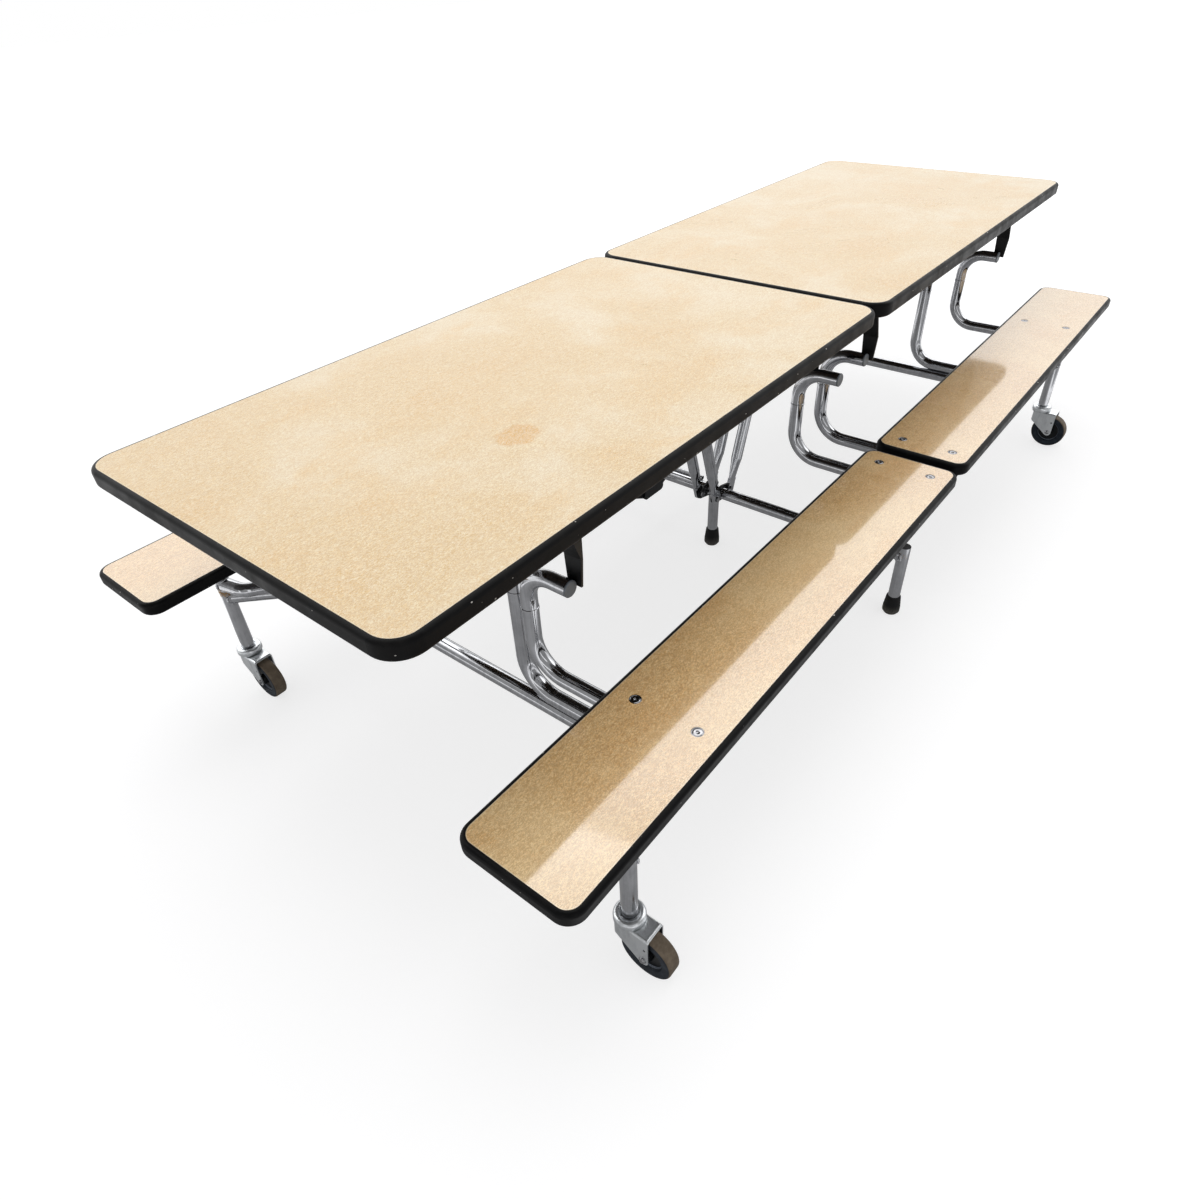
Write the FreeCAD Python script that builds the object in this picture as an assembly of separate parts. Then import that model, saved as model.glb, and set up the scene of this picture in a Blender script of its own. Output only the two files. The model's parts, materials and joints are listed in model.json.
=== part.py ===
import FreeCAD, Part
import math
import os

# Folding cafeteria table with four attached benches, in millimetres.
# X runs across the table, Y along it and Z up; the origin is on the floor under the middle.
# The near half is at -Y and the far half at +Y; left is -X and right is +X.

# Tabletop halves
top_height = 737.0              # floor to the laminate
top_width = 762.0
top_length = 1305.5             # one half with its edging
top_thickness = 32.0
top_corner_radius = 48.0
halves_gap = 5.0                # between the two halves when unfolded

# Benches
bench_height = 430.0
bench_width = 210.0
bench_length = 1299.0
bench_thickness = 28.0
bench_corner_radius = 30.0
bench_offset = 130.0            # from the top's long edge out to a bench's centre line
benches_gap = 24.0              # between the ends of two benches

# Vinyl edging with a tongue in a groove round each board
edging_width = 9.0
edging_nose_radius = 8.0
tongue_depth = 8.0
tongue_thickness = 3.0
groove_clearance = 0.2

# Bench arms: bent tubes from under a bench up to a short hook below the top
arm_radius = 14.3
arm_wall = 1.8
arm_inner_place = 65.0          # Y of the arms beside the middle of the table
arm_end_setback = 346.0         # from a bench's outer end in to its outer arm
arm_upright_inset = 136.0       # from the top's long edge in to an arm's upright
arm_overrun = 79.0              # past the bench's centre line
arm_lower_bend = 65.0
arm_upper_bend = 55.0
arm_hook_drop = 145.0           # from the laminate down to the hook's centre line
arm_hook_inset = 46.0           # from the top's long edge in to the capped end
arm_seam_drop = 77.0            # below the hook
seam_rise = 0.9                 # how far the swaged seam stands out
seam_width = 5.0
end_cap_thickness = 3.0
end_cap_chamfer = 1.2
seat_clearance = 0.2            # between an arm and the bench it carries

# Bench bolts
bench_bolt_spacing = 114.0
bench_bolt_radius = 4.0
bench_bolt_head_radius = 10.0
bench_bolt_head_height = 3.0
bench_bolt_head_bevel = 1.0
bench_bolt_sink = 0.3           # head below the laminate
bolt_hole_clearance = 0.25

# Straps that hang the hooks from the top
strap_thickness = 4.0
strap_foot_width = 27.0
strap_kink_width = 34.0
strap_top_width = 34.0
strap_kink_rise = 50.0          # above the hook's centre line
strap_foot_drop = 2.0           # below the hook's centre line
strap_lean = 24.0               # run towards -Y above the kink
strap_flange = 48.0
strap_overhang = 15.0           # past the hook's end
strap_inset = 55.0              # short of the hook's end, on the near inner arms

# Outer leg frames
frame_radius = 15.9
frame_wall = 2.0
frame_setback = 390.0           # from the top's end in to the crossbar and the uprights
crossbar_height = 230.0
crossbar_splay = 125.0          # across, from a bend out to its caster leg
crossbar_bend = 60.0
crossbar_leg_height = 268.0     # where an end meets its caster leg
upright_place = 165.0           # X of the uprights
upright_lower_bend = 70.0
upright_upper_bend = 50.0
upright_seam_drop = 195.0       # below the hinge
run_bend = 50.0                 # where the upright's lower run turns outwards
run_elbow_inset = 55.0          # from the caster leg, across
run_elbow_setback = 15.0        # from the caster leg, along
run_elbow_drop = 5.0
run_leg_height = 305.0
weld_gap = 0.3                  # between an upright and the crossbar it stands on
rod_weld_gap = 0.1              # between a tube and the strap or rod welded along it
leg_radius = 14.3
leg_wall = 2.0
leg_offset = 37.0               # from a bench's centre line out to a caster leg
leg_setback = 193.0             # from the top's end in to a caster leg
leg_top = 330.0
cope_overlap = 6.0              # how near a coped tube comes to the centre line it meets

# Hinge of a leg frame under the top, straight above the casters
hinge_drop = 25.0               # below the top's underside
hinge_radius = 14.3
hinge_bore_radius = 8.05
hinge_reach = 234.5             # half the hinge tube's length
hinge_end_gap = 1.5
hinge_pin_engagement = 30.0
running_clearance = 0.05
bracket_thickness = 4.0
bracket_boss_radius = 17.0
bracket_flange_width = 46.0
bracket_flange_length = 70.0
bracket_flange_thickness = 3.0

# Control links that keep the leg frames upright while the halves swing
link_place = 205.0              # X of the levers and lugs, on the left side
link_drop = 70.0                # from a main pivot to its link pivot
link_thickness = 6.0
link_end_radius = 10.0
link_pin_radius = 5.0
link_side_gap = 0.4
open_pivot_clearance = 0.4
lever_thickness = 6.0
lever_boss_radius = 20.0
lever_end_radius = 12.0
link_pin_head_radius = 8.0
link_pin_head_height = 3.0

# Centre frame
centre_height = 172.0           # Z of the crossbar and the strut pivots
centre_radius = 15.9
centre_wall = 2.0
centre_leg_radius = 14.3
centre_leg_wall = 2.0
centre_leg_offset = 21.0        # from a bench's centre line out to an outer leg
centre_leg_top = 198.0
foot_height = 50.0
foot_top_radius = 17.5
foot_lip_width = 1.0
foot_lip_height = 2.0
foot_wide_radius = 21.0
foot_wide_height = 18.0
foot_floor_radius = 17.0
foot_floor = 6.0                # rubber under the leg's end
foot_grip = 0.1
lift_rod_radius = 6.0
lift_rod_start = 45.0
lift_rod_setback = 32.0         # from an outer leg's centre line in to the rod's end
lift_rod_angle = 60.0           # round the crossbar from +Y

# Centre struts, two to each half
strut_radius = 14.3
strut_wall = 1.8
strut_place = 28.0              # X of the struts
strut_pivot_offset = 34.0       # Y of a strut's pivot
strut_top_place = 210.0         # Y where a strut meets its plate
strut_eye_radius = 15.0
strut_eye_thickness = 8.0
strut_flat_length = 30.0
strut_taper_length = 55.0
strut_hollow_tip = 0.1          # radius where the pressed walls meet
pivot_bolt_radius = 5.0
pivot_head_radius = 8.0
pivot_head_height = 6.0
pivot_side_gap = 0.4
pivot_lug_thickness = 5.0
pivot_lug_end_radius = 14.0
pivot_lug_boss_radius = 22.0
strut_plate_width = 200.0
strut_plate_length = 90.0
strut_plate_thickness = 3.0
strut_plate_corner_radius = 12.0

# Casters
wheel_radius = 50.0
wheel_width = 30.0
wheel_hub_radius = 30.0
wheel_boss_radius = 11.0
wheel_web_thickness = 14.0
wheel_shoulder_radius = 5.0
wheel_boss_draft = 2.0
wheel_hub_draft = 3.0
wheel_side_dish = 1.0           # how far the rim's inside lies below its shoulder
caster_trail = 40.0
axle_radius = 4.0
axle_head_flats = 13.0
axle_head_height = 5.0
fork_gap = 4.0                  # from the wheel's side to the fork
fork_wall = 2.5
fork_crown_height = 112.0
fork_crown_thickness = 3.0
fork_corner_radius = 5.0
fork_foot_radius = 11.0
fork_shoulder_reach = 51.0      # behind the stem
fork_front_reach = 26.0
fork_cheek_radius = 10.0
fork_plan_corner = 1.0
brake_hole_radius = 2.5
brake_hole_back = 3.7           # behind the axle
brake_hole_rise = 33.0          # above the axle
raceway_radius = 25.0
raceway_height = 7.2
raceway_slope = 3.0
race_gap = 0.4
race_cap_radius = 24.0
race_cap_height = 7.4
race_recess_radius = 17.0
race_recess_depth = 2.5
kingpin_radius = 7.0
kingpin_head_radius = 11.0
kingpin_head_height = 4.0
stem_radius = 12.1
stem_length = 46.0

# Edges are picked by their place and direction to within this
pick_tolerance = 0.1

# Heights and places that follow from the sizes above
top_edge = top_width / 2
top_end = halves_gap / 2 + top_length
bench_end = benches_gap / 2 + bench_length
bench_middle = top_edge + bench_offset
arm_outer_place = bench_end - arm_end_setback
arm_upright_place = top_edge - arm_upright_inset
arm_reach = bench_middle + arm_overrun
arm_hook_reach = top_edge - arm_hook_inset
arm_hook_height = top_height - arm_hook_drop
arm_seam_height = arm_hook_height - arm_seam_drop
strap_kink_height = arm_hook_height + strap_kink_rise
seam_bevel = 0.8 * seam_rise
frame_place = top_end - frame_setback
leg_along = top_end - leg_setback
leg_across = bench_middle + leg_offset
crossbar_bend_place = leg_across - crossbar_splay
centre_leg_place = bench_middle + centre_leg_offset
lift_rod_end = centre_leg_place - lift_rod_setback
top_underside = top_height - top_thickness
bench_underside = bench_height - bench_thickness
arm_run_height = bench_underside - seat_clearance - arm_radius
upright_run_height = crossbar_height + 2 * frame_radius + weld_gap
hinge_height = top_underside - hinge_drop
upright_seam_height = hinge_height - upright_seam_drop
race_cap_bottom = fork_crown_height + raceway_height + race_gap
leg_bottom = race_cap_bottom + race_cap_height - race_recess_depth + race_gap
link_inner_face = link_place + lever_thickness / 2 + link_side_gap
link_outer_face = link_inner_face + link_thickness

halves = {"near": -1, "far": 1}
sides = {"left": -1, "right": 1}
arm_places = {"inner": arm_inner_place, "outer": arm_outer_place}
# X of a strap's outer edge
strap_ends = {(half, place): arm_hook_reach + strap_overhang for half in halves for place in arm_places}
strap_ends[("near", "inner")] = arm_hook_reach - strap_inset
# straps with a side cheek between the leaning part and the flange
cheeked_straps = [("near", "outer")]


def vector(x, y, z):
    return FreeCAD.Vector(x, y, z)


def rod(radius, start, end):
    run = end - start
    return Part.makeCylinder(radius, run.Length, start, run)


def ring_rod(radius, bore_radius, start, end):
    return rod(radius, start, end).cut(rod(bore_radius, start, end))


def bent_path(points, bend_radii):
    # straight runs joined by tangent arcs, one radius for each inner point
    edges = []
    run_start = points[0]
    for index, bend_radius in enumerate(bend_radii, start=1):
        corner = points[index]
        arriving = (corner - points[index - 1]).normalize()
        leaving = (points[index + 1] - corner).normalize()
        half_turn = arriving.getAngle(leaving) / 2
        setback = bend_radius * math.tan(half_turn)
        inward = (leaving - arriving).normalize()
        bend_start = corner - arriving * setback
        bend_end = corner + leaving * setback
        bend_middle = corner + inward * (bend_radius / math.cos(half_turn) - bend_radius)
        edges.append(Part.LineSegment(run_start, bend_start).toShape())
        edges.append(Part.Arc(bend_start, bend_middle, bend_end).toShape())
        run_start = bend_end
    edges.append(Part.LineSegment(run_start, points[-1]).toShape())
    return Part.Wire(edges)


def bent_tube(points, bend_radii, radius, wall):
    path = bent_path(points, bend_radii)
    direction = points[1] - points[0]
    outer = Part.Wire(Part.makeCircle(radius, points[0], direction))
    inner = Part.Wire(Part.makeCircle(radius - wall, points[0], direction))
    solid = path.makePipe(Part.Face(outer))
    return solid.cut(path.makePipe(Part.Face(inner)))


def end_cap(point, outward, radius):
    # a disc closing a tube, its outer rim chamfered, with its outer face at the point
    cap = Part.makeCylinder(radius, end_cap_thickness, point - outward * end_cap_thickness, outward)
    rim = [edge for edge in cap.Edges if edge.CenterOfMass.distanceToPoint(point) < end_cap_thickness / 2]
    return cap.makeChamfer(end_cap_chamfer, rim)


def seam_ring(x, y, z, radius):
    # a low swaged band round an upright tube
    band = Part.makeCylinder(radius + seam_rise, seam_width, vector(x, y, z - seam_width / 2))
    rims = [edge for edge in band.Edges if isinstance(edge.Curve, Part.Circle)]
    band = band.makeChamfer(seam_bevel, rims)
    return band.cut(Part.makeCylinder(radius - seam_rise, seam_width, vector(x, y, z - seam_width / 2)))


def tangent_outline(circles, place):
    # arcs and common tangents round circles (u, v, radius) in counter-clockwise order
    touches = []
    for index, (u, v, radius) in enumerate(circles):
        next_u, next_v, next_radius = circles[(index + 1) % len(circles)]
        heading = math.atan2(next_v - v, next_u - u)
        lean = math.asin((radius - next_radius) / math.hypot(next_u - u, next_v - v))
        touches.append(heading - math.pi / 2 + lean)
    edges = []
    for index, (u, v, radius) in enumerate(circles):
        arriving = touches[index - 1]
        sweep = (touches[index] - arriving) % (2 * math.pi)
        turns = [arriving, arriving + sweep / 2, arriving + sweep]
        start, middle, end = [place(u + radius * math.cos(a), v + radius * math.sin(a)) for a in turns]
        edges.append(Part.Arc(start, middle, end).toShape())
        next_u, next_v, next_radius = circles[(index + 1) % len(circles)]
        leaving = touches[index]
        tangent_end = place(next_u + next_radius * math.cos(leaving),
                            next_v + next_radius * math.sin(leaving))
        edges.append(Part.LineSegment(end, tangent_end).toShape())
    return Part.Wire(edges)


def plate_across(circles, x_low, x_high):
    # a plate in a YZ plane, from circles (y, z, radius)
    outline = tangent_outline(circles, lambda y, z: vector(x_low, y, z))
    return Part.Face(outline).extrude(vector(x_high - x_low, 0, 0))


def swept_across(points, x_start, x_end):
    # a closed outline of straight lines in (y, z), swept along X
    outline = Part.makePolygon([vector(x_start, y, z) for y, z in points + points[:1]])
    return Part.Face(outline).extrude(vector(x_end - x_start, 0, 0))


def revolved(points, axis):
    # a closed outline of straight lines turned about an axis through the origin
    return Part.Face(Part.makePolygon(points + points[:1])).revolve(vector(0, 0, 0), axis, 360)


def rounded_block(x_middle, y_middle, width, length, z_low, height, corner_radius):
    corner = vector(x_middle - width / 2, y_middle - length / 2, z_low)
    block = Part.makeBox(width, length, height, corner)
    uprights = [edge for edge in block.Edges
                if abs(edge.tangentAt(edge.FirstParameter).z) > 1 - pick_tolerance]
    return block.makeFillet(corner_radius, uprights)


def board_core(size):
    return rounded_block(size["x"], size["y"], size["width"] - 2 * edging_width,
                         size["length"] - 2 * edging_width, size["z"], size["height"],
                         size["corner"] - edging_width)


def edge_tongue(size, clearance):
    # the band that runs into the board's edge, or with a clearance the groove cut for it
    thickness = tongue_thickness + 2 * clearance
    z_low = size["z"] + (size["height"] - thickness) / 2
    core_width = size["width"] - 2 * edging_width
    core_length = size["length"] - 2 * edging_width
    depth = tongue_depth + clearance
    corner = size["corner"] - edging_width
    outer = rounded_block(size["x"], size["y"], core_width, core_length, z_low, thickness, corner)
    inner = rounded_block(size["x"], size["y"], core_width - 2 * depth, core_length - 2 * depth,
                          z_low, thickness, corner - depth)
    return outer.cut(inner)


def board(size):
    return board_core(size).cut(edge_tongue(size, groove_clearance))


def edging(size):
    outer = rounded_block(size["x"], size["y"], size["width"], size["length"], size["z"],
                          size["height"], size["corner"])
    rims = [edge for edge in outer.Edges if abs(edge.tangentAt(edge.FirstParameter).z) < pick_tolerance]
    band = outer.makeFillet(edging_nose_radius, rims).cut(board_core(size))
    return band.fuse(edge_tongue(size, 0)).removeSplitter()


def top_size(end):
    return {"x": 0, "y": end * (halves_gap + top_length) / 2, "z": top_underside, "width": top_width,
            "length": top_length, "height": top_thickness, "corner": top_corner_radius}


def bench_size(end, side):
    return {"x": side * bench_middle, "y": end * (benches_gap + bench_length) / 2, "z": bench_underside,
            "width": bench_width, "length": bench_length, "height": bench_thickness,
            "corner": bench_corner_radius}


def bench_bolt_places(end, side):
    across = [side * bench_middle - bench_bolt_spacing / 2, side * bench_middle + bench_bolt_spacing / 2]
    return [(x, end * y) for x in across for y in (arm_inner_place, arm_outer_place)]


def bolt_hole(x, y, depth_end):
    # shank hole with a counterbore for the head
    shank = rod(bench_bolt_radius + bolt_hole_clearance, vector(x, y, depth_end), vector(x, y, bench_height))
    head_bottom = bench_height - bench_bolt_sink - bench_bolt_head_height
    head = rod(bench_bolt_head_radius + bolt_hole_clearance, vector(x, y, head_bottom),
               vector(x, y, bench_height))
    return shank.fuse(head)


def bench_board(end, side):
    holes = [bolt_hole(x, y, bench_underside) for x, y in bench_bolt_places(end, side)]
    return board(bench_size(end, side)).cut(holes)


def bench_bolt(x, y):
    head_top = bench_height - bench_bolt_sink
    head_bottom = head_top - bench_bolt_head_height
    head = Part.makeCylinder(bench_bolt_head_radius, bench_bolt_head_height, vector(x, y, head_bottom))
    rim = [edge for edge in head.Edges
           if edge.CenterOfMass.z > head_top - pick_tolerance and len(edge.Vertexes) == 1]
    head = head.makeChamfer(bench_bolt_head_bevel, rim)
    shank = rod(bench_bolt_radius, vector(x, y, arm_run_height), vector(x, y, head_bottom))
    return head.fuse(shank)


def bench_bolts(end):
    places = bench_bolt_places(end, -1) + bench_bolt_places(end, 1)
    return Part.makeCompound([bench_bolt(x, y) for x, y in places])


def bench_arm(end, side, along):
    y = end * along
    points = [vector(side * arm_reach, y, arm_run_height),
              vector(side * arm_upright_place, y, arm_run_height),
              vector(side * arm_upright_place, y, arm_hook_height),
              vector(side * arm_hook_reach, y, arm_hook_height)]
    arm = bent_tube(points, [arm_lower_bend, arm_upper_bend], arm_radius, arm_wall)
    hook_end = points[-1]
    outward = vector(side, 0, 0)
    cap = end_cap(hook_end + outward * end_cap_thickness, outward, arm_radius)
    seam = seam_ring(side * arm_upright_place, y, arm_seam_height, arm_radius)
    shank_holes = [rod(bench_bolt_radius + bolt_hole_clearance, vector(x, y, arm_run_height),
                       vector(x, y, bench_underside)) for x, _ in bench_bolt_places(end, side)[::2]]
    return arm.fuse([cap, seam]).removeSplitter().cut(shank_holes)


def strap(half, side, place):
    # a flat strap welded along a hook, leaning above its kink, with a flange under the top:
    # its side view swept across, trimmed by its front view
    y_face = halves[half] * arm_places[place] + arm_radius + rod_weld_gap
    y_outer = y_face + strap_thickness
    z_foot = arm_hook_height - strap_foot_drop
    z_flange = top_underside - strap_thickness
    lean_at_flange = strap_lean * (z_flange - strap_kink_height) / (top_underside - strap_kink_height)
    flange_end = y_face - strap_lean + strap_flange
    side_view = [(y_face, z_foot), (y_face, strap_kink_height), (y_face - strap_lean, top_underside),
                 (flange_end, top_underside), (flange_end, z_flange), (y_outer - lean_at_flange, z_flange),
                 (y_outer, strap_kink_height), (y_outer, z_foot)]
    x_end = side * strap_ends[(half, place)]
    x_inner = x_end - side * strap_kink_width
    x_middle = (x_end + x_inner) / 2
    body = swept_across(side_view, x_inner, x_end)
    front_view = [(-strap_foot_width / 2, z_foot), (strap_foot_width / 2, z_foot),
                  (strap_kink_width / 2, strap_kink_height), (strap_top_width / 2, top_underside),
                  (-strap_top_width / 2, top_underside), (-strap_kink_width / 2, strap_kink_height)]
    y_low = min(y for y, _ in side_view)
    y_high = max(y for y, _ in side_view)
    outline = [vector(x_middle + x, y_low, z) for x, z in front_view + front_view[:1]]
    trimmed = body.common(Part.Face(Part.makePolygon(outline)).extrude(vector(0, y_high - y_low, 0)))
    if (half, place) in cheeked_straps:
        cheek_edge = x_middle + side * strap_top_width / 2
        cheek_view = [(y_outer, strap_kink_height), (y_outer - strap_lean, top_underside),
                      (y_outer, top_underside)]
        cheek = swept_across(cheek_view, cheek_edge - side * strap_thickness, cheek_edge)
        trimmed = trimmed.fuse(cheek).removeSplitter()
    return trimmed


def straps(half):
    pieces = [strap(half, side, place) for place in arm_places for side in sides.values()]
    return Part.makeCompound(pieces)


def strut(end, side):
    # a tube up to the plate, its lower end pressed flat and drilled for the pivot bolt
    x = side * strut_place
    pivot = vector(x, end * strut_pivot_offset, centre_height)
    plate_face = top_underside - strut_plate_thickness
    foot_to_top = vector(x, end * strut_top_place, plate_face) - pivot
    direction = vector(*foot_to_top).normalize()
    length = foot_to_top.Length
    flat_end = strut_flat_length
    round_start = strut_flat_length + strut_taper_length
    over_run = 2 * strut_radius
    tube = Part.makeCylinder(strut_radius, length - round_start + over_run)
    tube = tube.cut(Part.makeCylinder(strut_radius - strut_wall, length - round_start + over_run))
    tube.translate(vector(0, 0, round_start))
    taper = Part.makeLoft([flattened_section(flat_end), round_section(round_start)], True)
    hollow = Part.makeCone(strut_hollow_tip, strut_radius - strut_wall, strut_taper_length / 2)
    hollow.translate(vector(0, 0, round_start - strut_taper_length / 2))
    foot = Part.makeBox(strut_eye_thickness, 2 * strut_eye_radius, flat_end,
                        vector(-strut_eye_thickness / 2, -strut_eye_radius, 0))
    eye = Part.makeCylinder(strut_eye_radius, strut_eye_thickness, vector(-strut_eye_thickness / 2, 0, 0),
                            vector(1, 0, 0))
    whole = tube.fuse([taper.cut(hollow), foot, eye]).removeSplitter()
    hole_radius = pivot_bolt_radius + running_clearance
    whole = whole.cut(Part.makeCylinder(hole_radius, strut_eye_thickness,
                                        vector(-strut_eye_thickness / 2, 0, 0), vector(1, 0, 0)))
    whole.rotate(vector(0, 0, 0), vector(1, 0, 0), math.degrees(math.atan2(-direction.y, direction.z)))
    whole.translate(pivot)
    above = Part.makeBox(2 * top_width, 2 * top_length, top_thickness,
                         vector(-top_width, pivot.y - top_length, plate_face))
    return whole.cut(above)


def flattened_section(z):
    half_thickness = strut_eye_thickness / 2
    y = strut_eye_radius - half_thickness
    edges = [Part.LineSegment(vector(half_thickness, -y, z), vector(half_thickness, y, z)).toShape(),
             Part.Arc(vector(half_thickness, y, z), vector(0, strut_eye_radius, z),
                      vector(-half_thickness, y, z)).toShape(),
             Part.LineSegment(vector(-half_thickness, y, z), vector(-half_thickness, -y, z)).toShape(),
             Part.Arc(vector(-half_thickness, -y, z), vector(0, -strut_eye_radius, z),
                      vector(half_thickness, -y, z)).toShape()]
    return Part.Wire(edges)


def round_section(z):
    # a circle in the same four pieces as the flattened section, so that the loft stays smooth
    quarter = strut_radius * math.sin(math.pi / 4)
    corners = [vector(quarter, -quarter, z), vector(quarter, quarter, z),
               vector(-quarter, quarter, z), vector(-quarter, -quarter, z)]
    crests = [vector(strut_radius, 0, z), vector(0, strut_radius, z),
              vector(-strut_radius, 0, z), vector(0, -strut_radius, z)]
    edges = [Part.Arc(corners[i], crests[i], corners[(i + 1) % 4]).toShape() for i in range(4)]
    return Part.Wire(edges)


def struts(end):
    return Part.makeCompound([strut(end, side) for side in sides.values()])


def strut_plate(end):
    return rounded_block(0, end * strut_top_place, strut_plate_width, strut_plate_length,
                         top_underside - strut_plate_thickness, strut_plate_thickness,
                         strut_plate_corner_radius)


def hinge_bracket(end, side):
    # a flange under the top, a web hanging from it and a pin into the hinge tube
    y = end * leg_along
    web_inner = hinge_reach + hinge_end_gap
    web_outer = web_inner + bracket_thickness
    root_radius = bracket_thickness
    root_height = top_underside - root_radius
    half_root = bracket_flange_length / 2 - root_radius
    web = plate_across([(y, hinge_height, bracket_boss_radius), (y + half_root, root_height, root_radius),
                        (y - half_root, root_height, root_radius)], side * web_inner, side * web_outer)
    flange_x = side * (web_inner + bracket_flange_width / 2)
    flange = rounded_block(flange_x, y, bracket_flange_width, bracket_flange_length,
                           top_underside - bracket_flange_thickness, bracket_flange_thickness,
                           root_radius)
    pin_radius = hinge_bore_radius - running_clearance
    pin = rod(pin_radius, vector(side * (hinge_reach - hinge_pin_engagement), y, hinge_height),
              vector(side * web_outer, y, hinge_height))
    return web.fuse([flange, pin]).removeSplitter()


def hinge_brackets(end):
    return Part.makeCompound([hinge_bracket(end, side) for side in sides.values()])


def crossbar_points(end):
    reach = cope_overlap / math.hypot(leg_across - crossbar_bend_place, leg_along - frame_place)
    tips = []
    for side in (-1, 1):
        tip_x = leg_across - (leg_across - crossbar_bend_place) * reach
        tip_y = leg_along - (leg_along - frame_place) * reach
        tips.append(vector(side * tip_x, end * tip_y, crossbar_leg_height))
    bends = [vector(side * crossbar_bend_place, end * frame_place, crossbar_height) for side in (-1, 1)]
    return [tips[0], bends[0], bends[1], tips[1]]


def leg_cylinder(end, side):
    x = side * leg_across
    return rod(leg_radius, vector(x, end * leg_along, leg_bottom), vector(x, end * leg_along, leg_top))


def frame_crossbar(end):
    bar = bent_tube(crossbar_points(end), [crossbar_bend, crossbar_bend], frame_radius, frame_wall)
    return bar.cut([leg_cylinder(end, -1), leg_cylinder(end, 1)])


def upright(end, side):
    # from the hinge tube, down beside the arms, out over the crossbar and on to the caster leg
    x = side * upright_place
    y = end * frame_place
    elbow = vector(side * (leg_across - run_elbow_inset), end * (leg_along - run_elbow_setback),
                   run_leg_height - run_elbow_drop)
    leg = vector(side * leg_across, end * leg_along, run_leg_height)
    tip = leg - (leg - elbow).normalize() * cope_overlap
    points = [vector(x, end * (leg_along - cope_overlap), hinge_height), vector(x, y, hinge_height),
              vector(x, y, upright_run_height),
              vector(side * crossbar_bend_place, y, upright_run_height), elbow, tip]
    bends = [upright_upper_bend, upright_lower_bend, run_bend, run_bend / 2]
    pipe = bent_tube(points, bends, frame_radius, frame_wall)
    seam = seam_ring(x, y, upright_seam_height, frame_radius)
    hinge = rod(hinge_radius, vector(-hinge_reach, end * leg_along, hinge_height),
                vector(hinge_reach, end * leg_along, hinge_height))
    return pipe.fuse(seam).removeSplitter().cut([leg_cylinder(end, side), hinge])


def uprights(end):
    return Part.makeCompound([upright(end, side) for side in sides.values()])


def caster_leg(end, side):
    x = side * leg_across
    y = end * leg_along
    tube = ring_rod(leg_radius, leg_radius - leg_wall, vector(x, y, leg_bottom), vector(x, y, leg_top))
    return tube.fuse(end_cap(vector(x, y, leg_top), vector(0, 0, 1), leg_radius)).removeSplitter()


def caster_legs(end):
    return Part.makeCompound([caster_leg(end, side) for side in sides.values()])


def link_pin(y, z):
    # from the inner face of the lever or lug, through the link, to a head outside it
    head_start = link_outer_face + link_side_gap
    pin = rod(link_pin_radius, vector(-link_place + lever_thickness / 2, y, z), vector(-head_start, y, z))
    head = rod(link_pin_head_radius, vector(-head_start, y, z),
               vector(-head_start - link_pin_head_height, y, z))
    return pin.fuse(head)


def hinge_tube(end):
    # the turning tube of a leg frame, with the lever of its control link
    y = end * leg_along
    left = vector(-hinge_reach, y, hinge_height)
    right = vector(hinge_reach, y, hinge_height)
    lever_bottom = hinge_height - link_drop
    lever = plate_across([(y, lever_bottom, lever_end_radius), (y, hinge_height, lever_boss_radius)],
                         -link_place - lever_thickness / 2, -link_place + lever_thickness / 2)
    whole = rod(hinge_radius, left, right).fuse([lever, link_pin(y, lever_bottom)])
    return whole.removeSplitter().cut(rod(hinge_bore_radius, left, right))


def control_link(end, running_end):
    # a flat bar between the link pivots; the end that closes the loop has the looser hole
    hinge_pivot = (end * leg_along, hinge_height - link_drop)
    centre_pivot = (end * strut_pivot_offset, centre_height - link_drop)
    bar = plate_across([(*hinge_pivot, link_end_radius), (*centre_pivot, link_end_radius)],
                       -link_outer_face, -link_inner_face)
    clearances = {"hinge": open_pivot_clearance, "centre": open_pivot_clearance}
    clearances[running_end] = running_clearance
    for name, (y, z) in (("hinge", hinge_pivot), ("centre", centre_pivot)):
        bar = bar.cut(rod(link_pin_radius + clearances[name], vector(-link_outer_face, y, z),
                          vector(-link_inner_face, y, z)))
    return bar


def centre_bar_cylinder():
    return rod(centre_radius, vector(-centre_leg_place, 0, centre_height),
               vector(centre_leg_place, 0, centre_height))


def centre_leg_cylinder(x, top):
    return rod(centre_leg_radius, vector(x, 0, foot_floor + foot_grip), vector(x, 0, top))


def centre_crossbar():
    tip = centre_leg_place - cope_overlap
    bar = ring_rod(centre_radius, centre_radius - centre_wall, vector(-tip, 0, centre_height),
                   vector(tip, 0, centre_height))
    legs = [centre_leg_cylinder(x, centre_leg_top) for x in (-centre_leg_place, centre_leg_place)]
    return bar.cut(legs)


def centre_legs():
    bottom = foot_floor + foot_grip
    bore = centre_leg_radius - centre_leg_wall
    middle = ring_rod(centre_leg_radius, bore, vector(0, 0, bottom), vector(0, 0, centre_height))
    pieces = [middle.cut(centre_bar_cylinder())]
    for x in (-centre_leg_place, centre_leg_place):
        leg = ring_rod(centre_leg_radius, bore, vector(x, 0, bottom), vector(x, 0, centre_leg_top))
        cap = end_cap(vector(x, 0, centre_leg_top), vector(0, 0, 1), centre_leg_radius)
        pieces.append(leg.fuse(cap).removeSplitter())
    return Part.makeCompound(pieces)


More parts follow.
